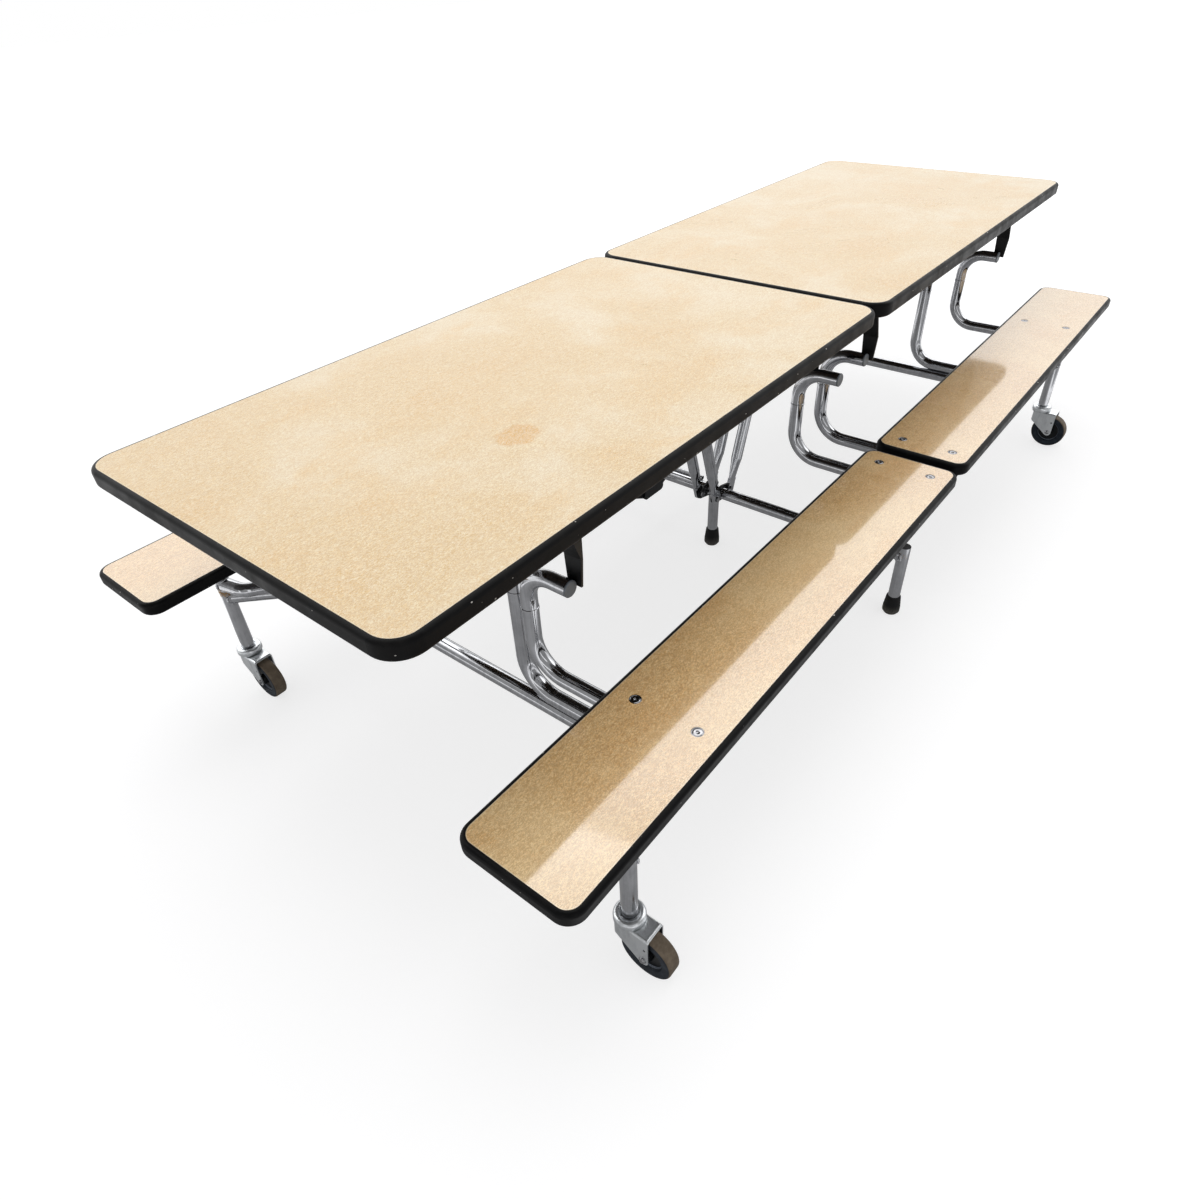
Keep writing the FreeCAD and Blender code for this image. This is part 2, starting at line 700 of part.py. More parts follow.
def rubber_foot(x):
    socket = centre_leg_radius + foot_grip
    outline = [(0, 0), (foot_floor_radius, 0), (foot_wide_radius, foot_floor),
               (foot_wide_radius, foot_wide_height), (foot_top_radius, foot_height - foot_lip_height),
               (foot_top_radius - foot_lip_width, foot_height), (socket, foot_height),
               (socket, foot_floor), (0, foot_floor)]
    foot = revolved([vector(radius, 0, z) for radius, z in outline], vector(0, 0, 1))
    foot.translate(vector(x, 0, 0))
    return foot


def centre_feet():
    return Part.makeCompound([rubber_foot(x) for x in (-centre_leg_place, 0, centre_leg_place)])


def strut_lug_faces():
    outer = strut_place - strut_eye_thickness / 2 - pivot_side_gap
    return outer - pivot_lug_thickness, outer


def centre_lugs():
    # two plates round the crossbar for the struts and one, reaching down, for the control links
    inner, outer = strut_lug_faces()
    bolt_hole_radius = pivot_bolt_radius + bolt_hole_clearance
    pieces = []
    for side in sides.values():
        x_low, x_high = sorted((side * inner, side * outer))
        lug = plate_across([(-strut_pivot_offset, centre_height, pivot_lug_end_radius),
                            (0, centre_height - lug_waist(), pivot_lug_boss_radius - lug_waist()),
                            (strut_pivot_offset, centre_height, pivot_lug_end_radius),
                            (0, centre_height + lug_waist(), pivot_lug_boss_radius - lug_waist())],
                           x_low, x_high)
        holes = [rod(bolt_hole_radius, vector(x_low, end * strut_pivot_offset, centre_height),
                     vector(x_high, end * strut_pivot_offset, centre_height)) for end in halves.values()]
        pieces.append(lug.cut(holes + [centre_bar_cylinder()]))
    link_pivot = centre_height - link_drop
    lug = plate_across([(-strut_pivot_offset, link_pivot, lever_end_radius),
                        (strut_pivot_offset, link_pivot, lever_end_radius),
                        (0, centre_height, pivot_lug_boss_radius)],
                       -link_place - lever_thickness / 2, -link_place + lever_thickness / 2)
    pins = [link_pin(end * strut_pivot_offset, link_pivot) for end in halves.values()]
    pieces.append(lug.fuse(pins).removeSplitter().cut([centre_bar_cylinder(), lift_rod()]))
    return Part.makeCompound(pieces)


def lug_waist():
    # how far the two waist circles of a strut lug lie from the crossbar's centre line
    return pivot_lug_boss_radius / 3


def lift_rod():
    # a thin rod lying on the crossbar, on its far upper side
    offset = centre_radius + lift_rod_radius + rod_weld_gap
    y = offset * math.cos(math.radians(lift_rod_angle))
    z = centre_height + offset * math.sin(math.radians(lift_rod_angle))
    return rod(lift_rod_radius, vector(-lift_rod_end, y, z), vector(-lift_rod_start, y, z))


def hex_prism(flats, start, end):
    run = end - start
    corner = flats / 2 / math.cos(math.pi / 6)
    reference = vector(0, 0, 1).cross(run)
    reference = reference.normalize() if reference.Length > 0 else vector(1, 0, 0)
    other = run.cross(reference).normalize()
    corners = [start + reference * (corner * math.cos(math.radians(60 * i))) +
               other * (corner * math.sin(math.radians(60 * i))) for i in range(7)]
    return Part.Face(Part.makePolygon(corners)).extrude(run)


def centre_pivot_bolts():
    inner, outer = strut_lug_faces()
    strut_outer_face = strut_place + strut_eye_thickness / 2
    pieces = []
    for side in sides.values():
        for end in halves.values():
            y = end * strut_pivot_offset
            head_start = strut_outer_face + pivot_side_gap
            shank = rod(pivot_bolt_radius, vector(side * inner, y, centre_height),
                        vector(side * head_start, y, centre_height))
            head = rod(pivot_head_radius, vector(side * head_start, y, centre_height),
                       vector(side * (head_start + pivot_head_height / 2), y, centre_height))
            nut = hex_prism(2 * pivot_head_radius, vector(side * inner, y, centre_height),
                            vector(side * (inner - pivot_head_height), y, centre_height))
            pieces.append(shank.fuse([head, nut]))
    return Part.makeCompound(pieces)


def caster_place(end, side):
    return vector(side * leg_across, end * leg_along, 0)


def caster_fork():
    # a stamped channel over the wheel, trimmed to its side and plan outlines, with the lower raceway
    half_width = wheel_width / 2 + fork_gap + fork_wall
    inner_half = half_width - fork_wall
    length = fork_front_reach + fork_shoulder_reach
    z_low = wheel_radius - fork_foot_radius
    height = fork_crown_height - z_low
    shell = Part.makeBox(length, 2 * half_width, height, vector(-fork_front_reach, -half_width, z_low))
    shell = shell.makeFillet(fork_corner_radius, long_top_edges(shell))
    hollow = Part.makeBox(length, 2 * inner_half, height - fork_crown_thickness,
                          vector(-fork_front_reach, -inner_half, z_low))
    hollow = hollow.makeFillet(fork_corner_radius - fork_wall, long_top_edges(hollow))
    shoulder = fork_corner_radius
    side_circles = [(caster_trail, wheel_radius, fork_foot_radius),
                    (fork_shoulder_reach - shoulder, fork_crown_height - shoulder, shoulder),
                    (shoulder - fork_front_reach, fork_crown_height - shoulder, shoulder),
                    (fork_cheek_radius - fork_front_reach, fork_crown_height - 2 * fork_cheek_radius,
                     fork_cheek_radius)]
    side_outline = tangent_outline(side_circles, lambda x, z: vector(x, -half_width, z))
    side_trim = Part.Face(side_outline).extrude(vector(0, 2 * half_width, 0))
    plan_back = fork_shoulder_reach - fork_plan_corner
    plan_circles = [(0, 0, fork_front_reach), (plan_back, -half_width, fork_plan_corner),
                    (plan_back, half_width, fork_plan_corner)]
    plan_outline = tangent_outline(plan_circles, lambda x, y: vector(x, y, 0))
    plan_trim = Part.Face(plan_outline).extrude(vector(0, 0, fork_crown_height))
    channel = shell.cut(hollow).common(side_trim).common(plan_trim)
    raceway_top = fork_crown_height + raceway_height
    raceway = Part.makeCone(raceway_radius, raceway_radius - raceway_slope, raceway_height,
                            vector(0, 0, fork_crown_height))
    bore = Part.makeCylinder(kingpin_radius + running_clearance, raceway_top)
    axle_hole = rod(axle_radius + bolt_hole_clearance, vector(caster_trail, -half_width, wheel_radius),
                    vector(caster_trail, half_width, wheel_radius))
    brake_hole_x = caster_trail + brake_hole_back
    brake_hole_z = wheel_radius + brake_hole_rise
    brake_hole = rod(brake_hole_radius, vector(brake_hole_x, -half_width, brake_hole_z),
                     vector(brake_hole_x, half_width, brake_hole_z))
    return channel.fuse(raceway).removeSplitter().cut([bore, axle_hole, brake_hole])


def long_top_edges(block):
    top = block.BoundBox.ZMax
    return [edge for edge in block.Edges
            if edge.CenterOfMass.z > top - pick_tolerance and
            abs(edge.tangentAt(edge.FirstParameter).x) > 1 - pick_tolerance]


def caster_stem():
    # kingpin head, kingpin, upper race with a recess for the leg, and the plug inside the leg
    crown_underside = fork_crown_height - fork_crown_thickness
    head_top = crown_underside - race_gap
    cap_top = race_cap_bottom + race_cap_height
    recess = cap_top - race_recess_depth
    outline = [(0, head_top - kingpin_head_height), (kingpin_head_radius, head_top - kingpin_head_height),
               (kingpin_head_radius, head_top), (kingpin_radius, head_top),
               (kingpin_radius, race_cap_bottom), (race_cap_radius, race_cap_bottom),
               (race_cap_radius, recess), (race_cap_radius - race_recess_depth, cap_top),
               (race_recess_radius, cap_top), (race_recess_radius, recess), (stem_radius, recess),
               (stem_radius, recess + stem_length), (0, recess + stem_length)]
    return revolved([vector(radius, 0, z) for radius, z in outline], vector(0, 0, 1))


def caster_wheel():
    # tyre and recessed hub turned about the axle
    bore = axle_radius + running_clearance
    boss_half = wheel_width / 2 + fork_gap - race_gap
    web_half = wheel_web_thickness / 2
    half_width = wheel_width / 2
    shoulder = wheel_shoulder_radius
    flank = [(bore, boss_half), (wheel_boss_radius, boss_half),
             (wheel_boss_radius + wheel_boss_draft, web_half), (wheel_hub_radius, web_half),
             (wheel_hub_radius + wheel_hub_draft, half_width - wheel_side_dish),
             (wheel_radius - shoulder, half_width)]
    slope = shoulder * math.sin(math.pi / 4)
    rim_start = vector(wheel_radius - shoulder, half_width, 0)
    rim_middle = vector(wheel_radius - shoulder + slope, half_width - shoulder + slope, 0)
    rim_end = vector(wheel_radius, half_width - shoulder, 0)
    edges = [Part.LineSegment(vector(*flank[i], 0), vector(*flank[i + 1], 0)).toShape()
             for i in range(len(flank) - 1)]
    edges.append(Part.Arc(rim_start, rim_middle, rim_end).toShape())
    edges.append(Part.LineSegment(rim_end, vector(wheel_radius, 0, 0)).toShape())
    mirror = FreeCAD.Matrix()
    mirror.A22 = -1
    lower = [edge.transformGeometry(mirror) for edge in reversed(edges)]
    edges += lower + [Part.LineSegment(vector(bore, -boss_half, 0), vector(bore, boss_half, 0)).toShape()]
    wheel = Part.Face(Part.Wire(Part.__sortEdges__(edges))).revolve(vector(0, 0, 0), vector(0, 1, 0), 360)
    wheel.translate(vector(caster_trail, 0, wheel_radius))
    return wheel


def caster_axle():
    half_width = wheel_width / 2 + fork_gap + fork_wall
    head = hex_prism(axle_head_flats, vector(caster_trail, -half_width, wheel_radius),
                     vector(caster_trail, -half_width - axle_head_height, wheel_radius))
    nut = hex_prism(axle_head_flats, vector(caster_trail, half_width, wheel_radius),
                    vector(caster_trail, half_width + axle_head_height, wheel_radius))
    shank = rod(axle_radius, vector(caster_trail, -half_width, wheel_radius),
                vector(caster_trail, half_width, wheel_radius))
    return shank.fuse([head, nut])


def caster_stems(end):
    return Part.makeCompound([caster_stem().translated(caster_place(end, side)) for side in sides.values()])


def half_nodes(half, end):
    nodes = {f"{half}_top_board": board(top_size(end)), f"{half}_top_edging": edging(top_size(end))}
    for side_name, side in sides.items():
        nodes[f"{half}_{side_name}_bench_board"] = bench_board(end, side)
        nodes[f"{half}_{side_name}_bench_edging"] = edging(bench_size(end, side))
        for place, along in arm_places.items():
            nodes[f"{half}_{side_name}_{place}_arm"] = bench_arm(end, side, along)
    nodes[f"{half}_bench_bolts"] = bench_bolts(end)
    nodes[f"{half}_straps"] = straps(half)
    nodes[f"{half}_struts"] = struts(end)
    nodes[f"{half}_strut_plate"] = strut_plate(end)
    nodes[f"{half}_hinge_brackets"] = hinge_brackets(end)
    return nodes


def leg_frame_nodes(half, end):
    return {f"{half}_frame_crossbar": frame_crossbar(end), f"{half}_frame_uprights": uprights(end),
            f"{half}_caster_legs": caster_legs(end), f"{half}_hinge_tube": hinge_tube(end),
            f"{half}_caster_stems": caster_stems(end)}


def caster_nodes(half, end):
    nodes = {}
    for side_name, side in sides.items():
        place = caster_place(end, side)
        nodes[f"{half}_{side_name}_caster_fork"] = caster_fork().translated(place)
        nodes[f"{half}_{side_name}_caster_axle"] = caster_axle().translated(place)
        nodes[f"{half}_{side_name}_wheel"] = caster_wheel().translated(place)
    return nodes


def centre_nodes():
    return {"centre_crossbar": centre_crossbar(), "centre_legs": centre_legs(), "centre_feet": centre_feet(),
            "centre_lugs": centre_lugs(), "centre_pivot_bolts": centre_pivot_bolts(), "lift_rod": lift_rod()}


def table_nodes():
    nodes = {}
    for half, end in halves.items():
        nodes.update(half_nodes(half, end))
        nodes.update(leg_frame_nodes(half, end))
        nodes.update(caster_nodes(half, end))
    nodes["near_control_link"] = control_link(halves["near"], "hinge")
    nodes["far_control_link"] = control_link(halves["far"], "centre")
    nodes.update(centre_nodes())
    return nodes


os.makedirs("parts", exist_ok=True)
for node_name, shape in table_nodes().items():
    shape.exportStep(f"parts/{node_name}.step")
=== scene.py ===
import bpy
import json
import math
from mathutils import Matrix, Vector

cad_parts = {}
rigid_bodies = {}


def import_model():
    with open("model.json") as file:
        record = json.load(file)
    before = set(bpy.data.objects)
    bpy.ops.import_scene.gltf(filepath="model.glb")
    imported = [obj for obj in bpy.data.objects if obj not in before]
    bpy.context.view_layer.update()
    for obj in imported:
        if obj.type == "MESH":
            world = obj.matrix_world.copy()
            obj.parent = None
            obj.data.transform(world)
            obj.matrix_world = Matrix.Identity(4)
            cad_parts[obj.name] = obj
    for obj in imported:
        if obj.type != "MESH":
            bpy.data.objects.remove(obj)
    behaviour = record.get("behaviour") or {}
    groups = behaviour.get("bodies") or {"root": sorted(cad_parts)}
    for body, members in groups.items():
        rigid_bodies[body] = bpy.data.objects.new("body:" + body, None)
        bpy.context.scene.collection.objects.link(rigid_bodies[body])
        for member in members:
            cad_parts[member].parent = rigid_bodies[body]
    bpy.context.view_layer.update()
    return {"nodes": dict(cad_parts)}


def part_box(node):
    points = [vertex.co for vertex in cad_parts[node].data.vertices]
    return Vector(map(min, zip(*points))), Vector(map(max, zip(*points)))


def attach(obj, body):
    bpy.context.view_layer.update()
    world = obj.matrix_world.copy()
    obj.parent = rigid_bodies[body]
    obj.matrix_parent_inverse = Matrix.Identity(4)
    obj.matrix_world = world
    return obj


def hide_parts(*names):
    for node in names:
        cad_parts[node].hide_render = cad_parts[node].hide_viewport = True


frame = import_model()
nodes = frame["nodes"]
print("frame loaded:", len(nodes), "nodes")


# small helpers for picking and for material trees
def pickNone():
    for item in bpy.context.view_layer.objects:
        item.select_set(False)
    bpy.context.view_layer.objects.active = None


def tone(red, green, blue):
    # screen colour from 0 to 255, as the linear colour that a socket takes
    def linear(value):
        value = value / 255
        return value / 12.92 if value <= 0.04045 else ((value + 0.055) / 1.055) ** 2.4
    return (linear(red), linear(green), linear(blue), 1.0)


def newFinish(name):
    finish = bpy.data.materials.new(name)
    finish.use_nodes = True
    tree = finish.node_tree
    return finish, tree, tree.nodes["Principled BSDF"]


def plug(tree, value, socket):
    # a node's output goes in by a link, a plain value is set on the socket
    if hasattr(value, "is_linked"):
        tree.links.new(value, socket)
    else:
        socket.default_value = value


def objectPoint(tree):
    return tree.nodes.new("ShaderNodeTexCoord").outputs["Object"]


def placed(tree, point, move=(0, 0, 0), turn=(0, 0, 0), size=(1, 1, 1)):
    node = tree.nodes.new("ShaderNodeMapping")
    node.inputs["Location"].default_value = move
    node.inputs["Rotation"].default_value = turn
    node.inputs["Scale"].default_value = size
    tree.links.new(point, node.inputs["Vector"])
    return node.outputs["Vector"]


def noise(tree, point, scale, detail=3.0, rough=0.5, warp=0.0):
    node = tree.nodes.new("ShaderNodeTexNoise")
    node.inputs["Scale"].default_value = scale
    node.inputs["Detail"].default_value = detail
    node.inputs["Roughness"].default_value = rough
    node.inputs["Distortion"].default_value = warp
    tree.links.new(point, node.inputs["Vector"])
    return node.outputs["Fac"]


def cells(tree, point, scale):
    node = tree.nodes.new("ShaderNodeTexVoronoi")
    node.inputs["Scale"].default_value = scale
    tree.links.new(point, node.inputs["Vector"])
    return node.outputs["Distance"], node.outputs["Color"]


def sums(tree, kind, first, second=0.0):
    node = tree.nodes.new("ShaderNodeMath")
    node.operation = kind
    for value, socket in zip((first, second), node.inputs):
        plug(tree, value, socket)
    return node.outputs[0]


def apart(tree, point):
    node = tree.nodes.new("ShaderNodeSeparateXYZ")
    tree.links.new(point, node.inputs[0])
    return node.outputs[0], node.outputs[1], node.outputs[2]


def ramp(tree, value, low, high, lowOut=0.0, highOut=1.0, soft=True):
    node = tree.nodes.new("ShaderNodeMapRange")
    node.interpolation_type = "SMOOTHSTEP" if soft else "LINEAR"
    for entry, socket in zip((value, low, high, lowOut, highOut), node.inputs):
        plug(tree, entry, socket)
    return node.outputs[0]


def between(tree, share, first, second):
    # the first value where the share is 0, the second where it is 1
    return ramp(tree, share, 0.0, 1.0, first, second, soft=False)


def blendColours(tree, share, first, second):
    # inputs 6 and 7 and output 2 are the node's sockets for colours
    node = tree.nodes.new("ShaderNodeMix")
    node.data_type = "RGBA"
    plug(tree, share, node.inputs["Factor"])
    plug(tree, first, node.inputs[6])
    plug(tree, second, node.inputs[7])
    return node.outputs[2]


def reach(tree, point, place, stretch=(1, 1, 1)):
    # distance from a place, in metres when nothing is stretched
    node = tree.nodes.new("ShaderNodeVectorMath")
    node.operation = "LENGTH"
    moved = placed(tree, point, move=[-a * b for a, b in zip(place, stretch)], size=stretch)
    tree.links.new(moved, node.inputs[0])
    return node.outputs["Value"]


def mirrored(tree, point):
    # the same point in the +X +Y quarter, so that one place serves all four
    node = tree.nodes.new("ShaderNodeVectorMath")
    node.operation = "ABSOLUTE"
    tree.links.new(point, node.inputs[0])
    return node.outputs["Vector"]


def bumpy(tree, shader, height, strength, distance):
    node = tree.nodes.new("ShaderNodeBump")
    node.inputs["Strength"].default_value = strength
    node.inputs["Distance"].default_value = distance
    tree.links.new(height, node.inputs["Height"])
    tree.links.new(node.outputs["Normal"], shader.inputs["Normal"])


def edgeDistance(tree, point, boardNode, cornerRadius):
    # how far inside a rounded board outline a point lies, for the board in every quarter
    low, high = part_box(boardNode)
    middle = [abs(low[axis] + high[axis]) / 2 for axis in (0, 1)]
    half = [(high[axis] - low[axis]) / 2 - cornerRadius for axis in (0, 1)]
    offAcross, offAlong = (
        sums(tree, "SUBTRACT", sums(tree, "ABSOLUTE", sums(tree, "SUBTRACT", value, centre)), limit)
        for value, centre, limit in zip(apart(tree, mirrored(tree, point)), middle, half))
    outAcross = sums(tree, "MAXIMUM", offAcross, 0.0)
    outAlong = sums(tree, "MAXIMUM", offAlong, 0.0)
    outside = sums(tree, "SQRT", sums(tree, "ADD", sums(tree, "MULTIPLY", outAcross, outAcross),
                                      sums(tree, "MULTIPLY", outAlong, outAlong)))
    inside = sums(tree, "MINIMUM", sums(tree, "MAXIMUM", offAcross, offAlong), 0.0)
    return sums(tree, "SUBTRACT", cornerRadius, sums(tree, "ADD", outside, inside))


cameraView = {
    "place": (0.9912, -1.6622, 1.3281),
    "azimuth": 40.6,            # angles in degrees
    "elevation": 38.5,
    "roll": -3.2,
    "lens": 24.24,              # in millimetres
    "sensor": 36.0,
}


def makeCamera(values):
    azimuth, elevation, roll = (math.radians(values[key]) for key in ("azimuth", "elevation", "roll"))
    back = Vector((math.sin(azimuth) * math.cos(elevation), -math.cos(azimuth) * math.cos(elevation),
                   math.sin(elevation)))
    right = (-back).cross(Vector((0, 0, 1))).normalized()
    up = right.cross(-back)
    turnedRight = right * math.cos(roll) + up * math.sin(roll)
    turnedUp = up * math.cos(roll) - right * math.sin(roll)
    data = bpy.data.cameras.new("camera")
    data.lens = values["lens"]
    data.sensor_width = values["sensor"]
    camera = bpy.data.objects.new("camera", data)
    camera.matrix_world = Matrix.Translation(values["place"]) @ Matrix(
        (turnedRight, turnedUp, back)).transposed().to_4x4()
    bpy.context.scene.collection.objects.link(camera)
    bpy.context.scene.camera = camera


makeCamera(cameraView)
print("camera set")


floorLook = {
    "size": 60.0,
    "colour": tone(170, 170, 171),
    "glow": 0.72,               # what the eye sees of it besides the light it sends back
    "mirrorGlow": 0.18,         # and what gloss and metal see
    "stripeGlow": 1.0,          # on top of that, in a long stripe beyond each bench
    "stripePlace": 0.92,
    "stripeHalfWidth": 0.13,
    "stripeCore": 0.6,          # share of that width where it is at its brightest
    "farGlow": 1.0,
    "nearRadius": 1.7,          # where the far glow begins and where it is full
    "farRadius": 3.4,
    "roughness": 0.8,
    "specular": 0.1,
}


def makeFloor(values):
    pickNone()
    bpy.ops.mesh.primitive_plane_add(size=values["size"], location=(0, 0, 0))
    floor = bpy.context.object
    floor.name = "floor"
    finish, tree, shader = newFinish("floorPaper")
    shader.inputs["Base Color"].default_value = values["colour"]
    shader.inputs["Roughness"].default_value = values["roughness"]
    shader.inputs["Specular IOR Level"].default_value = values["specular"]
    shader.inputs["Emission Color"].default_value = (1, 1, 1, 1)
    path = tree.nodes.new("ShaderNodeLightPath")
    point = objectPoint(tree)
    distance = reach(tree, point, (0, 0, 0))
    glow, mirrorGlow = (
        ramp(tree, distance, values["nearRadius"], values["farRadius"], values[kind], values["farGlow"])
        for kind in ("glow", "mirrorGlow"))
    across = sums(tree, "ABSOLUTE", apart(tree, point)[0])
    offStripe = sums(tree, "ABSOLUTE", sums(tree, "SUBTRACT", across, values["stripePlace"]))
    half = values["stripeHalfWidth"]
    stripe = ramp(tree, offStripe, half * values["stripeCore"], half, values["stripeGlow"], 0.0)
    mirrorGlow = sums(tree, "ADD", mirrorGlow, stripe)
    byEye = sums(tree, "MULTIPLY", path.outputs["Is Camera Ray"], glow)
    byMirror = sums(tree, "MULTIPLY", path.outputs["Is Glossy Ray"], mirrorGlow)
    tree.links.new(sums(tree, "MAXIMUM", byEye, byMirror), shader.inputs["Emission Strength"])
    floor.data.materials.append(finish)


roomLook = {
    "ambient": 0.60,            # light that the room gives to all sides
    "farLow": 1.3,              # what gloss and metal see of it: the far side at the horizon
    "farHigh": 3.2,             # and higher up
    "farRise": (0.28, 0.72),    # how steep a line of sight is where that begins and is full
    "overhead": 0.12,           # over both sides
    "overheadRise": (0.77, 0.88),
    "viewer": 0.42,             # the viewer's side
    "strip": 1.5,               # two tall lights on the viewer's side
    "stripPlace": 0.42,
    "stripHalfWidth": 0.09,
    "stripCore": 0.7,           # share of that width where they are at their brightest
    "stripTop": (0.62, 0.70),   # where they fade
    "away": (-0.65, 0.76),      # the way across the floor from the viewer's side to the far one
    "farSide": (-0.15, 0.20),   # how far that way the first gives over to the second
}


def makeRoom(values):
    world = bpy.data.worlds.new("room")
    bpy.context.scene.world = world
    world.use_nodes = True
    tree = world.node_tree
    background = tree.nodes["Background"]
    direction = tree.nodes.new("ShaderNodeTexCoord").outputs["Generated"]
    across, along, up = apart(tree, direction)
    awayAcross, awayAlong = values["away"]
    away = sums(tree, "ADD", sums(tree, "MULTIPLY", across, awayAcross),
                sums(tree, "MULTIPLY", along, awayAlong))
    side = sums(tree, "ADD", sums(tree, "MULTIPLY", across, awayAlong),
                sums(tree, "MULTIPLY", along, -awayAcross))
    farWall = ramp(tree, up, *values["farRise"], values["farLow"], values["farHigh"], soft=False)
    offStrip = sums(tree, "SUBTRACT", sums(tree, "ABSOLUTE", side), values["stripPlace"])
    half = values["stripHalfWidth"]
    inStrip = ramp(tree, sums(tree, "ABSOLUTE", offStrip), half * values["stripCore"], half, 1.0, 0.0)
    strip = sums(tree, "MULTIPLY", inStrip, ramp(tree, up, *values["stripTop"], 1.0, 0.0))
    nearWall = between(tree, strip, values["viewer"], values["strip"])
    wall = between(tree, ramp(tree, away, *values["farSide"]), nearWall, farWall)
    gloss = between(tree, ramp(tree, up, *values["overheadRise"]), wall, values["overhead"])
    path = tree.nodes.new("ShaderNodeLightPath")
    mirrorRay = sums(tree, "MAXIMUM", path.outputs["Is Glossy Ray"], path.outputs["Is Transmission Ray"])
    strength = between(tree, mirrorRay, values["ambient"], gloss)
    strength = between(tree, path.outputs["Is Camera Ray"], strength, 1.0)
    background.inputs["Color"].default_value = (1, 1, 1, 1)
    tree.links.new(strength, background.inputs["Strength"])


lamps = {
    "topPanel": {"place": (-0.3, 0.0, 5.4), "aim": (0.0, 0.1, 0.6), "size": (3.6, 3.6), "power": 88.0},
}


def makeLamp(name, values):
    data = bpy.data.lights.new(name, "AREA")
    data.shape = "RECTANGLE"
    data.size, data.size_y = values["size"]
    data.energy = values["power"]
    lamp = bpy.data.objects.new(name, data)
    lamp.location = values["place"]
    away = Vector(values["place"]) - Vector(values["aim"])
    lamp.rotation_euler = away.to_track_quat("Z", "Y").to_euler()
    bpy.context.scene.collection.objects.link(lamp)


makeFloor(floorLook)
makeRoom(roomLook)
for lampName, lampValues in lamps.items():
    makeLamp(lampName, lampValues)
bpy.context.scene.view_settings.view_transform = "Standard"
print("floor, room and lamps set")


# a Size is how often noise changes in a metre, a Rise where a blend begins and where it is full
laminateLook = {
    "cloudSize": 3.2,
    "creamRise": (0.40, 0.64),
    "patchSize": 9.0,
    "patchStretch": 0.55,
    "warmRise": (0.46, 0.72),
    "warmShare": 0.75,
    "fibreSize": 320.0,
    "darkFibre": 0.6,
    "darkFibres": ((0.5, 1.0, 0.4), (-0.9, 0.9, 0.4)),      # turn, share of the size, stretch
    "lightFibre": 0.6,
    "lightFibres": ((2.1, 1.1, 0.4), (0.2, 0.8, 0.5)),
    "wornRise": (0.35, 0.65),
    "wornFibre": 0.7,           # what is left of the dark fibres where it is worn
    # painted highlight: a pale line round the board's edge, beside the edging
    "edgeHighlight": tone(246, 234, 210),
    "edgeHighlightWidth": (0.0006, 0.0014),
    "edgeHighlightShare": 0.45,
    "speck": tone(96, 70, 48),
    "speckSize": 26.0,
    "speckRare": (0.965, 0.97),
    "speckRadius": (0.02, 0.05),
    "speckShare": 0.5,
    "stain": tone(228, 174, 88),
    "stainShare": 0.85,
    "stainFade": (1.25, 1.6),   # in its radii, as is how ragged its edge is
    "stainRag": 1.1,
    "stainRagSize": 20.0,
    "undersideShade": tone(52, 42, 34),        # painted shade: the underside of the board made dark brown
    "undersideShadeTop": (0.00096, 0.0012),
    "grainSize": 900.0,
    "roughRise": (0.3, 0.7),
    "roughness": (0.26, 0.36),
    "bump": (0.12, 0.0002),     # strength, and height in metres
}
topLook = {
    "board": "near_top_board",
    "cornerRadius": 0.039,
    "base": tone(240, 214, 167),
    "cream": tone(247, 233, 205),
    "warm": tone(238, 202, 145),
    "fibre": tone(206, 166, 110),
    "lightFibre": tone(252, 242, 220),
    "specular": 0.2,
    "coat": 0.12,
    "coatIor": 1.5,
    "coatRoughness": 0.14,
    "stains": (((0.142, -0.838, 0.737), (1.0, 0.9, 1.0), 0.040),),     # place, stretch, radius
}
benchLook = {
    "board": "near_right_bench_board",
    "cornerRadius": 0.021,
    "base": tone(241, 198, 136),
    "cream": tone(247, 213, 158),
    "warm": tone(231, 179, 112),
    "fibre": tone(164, 114, 62),
    "lightFibre": tone(255, 230, 180),
    "specular": 0.3,
    "coat": 1.0,
    "coatIor": 1.88,
    "coatRoughness": 0.065,
    "stains": (),
}


def wiggles(tree, point, turn, scale, stretch, width=(0.012, 0.07)):
    # thin wandering lines, longer along one direction
    way = placed(tree, point, turn=(0, 0, turn), size=(1, stretch, 1))
    value = noise(tree, way, scale, detail=1.5, warp=1.2)
    return ramp(tree, sums(tree, "ABSOLUTE", sums(tree, "SUBTRACT", value, 0.5)), *width, 1.0, 0.0)


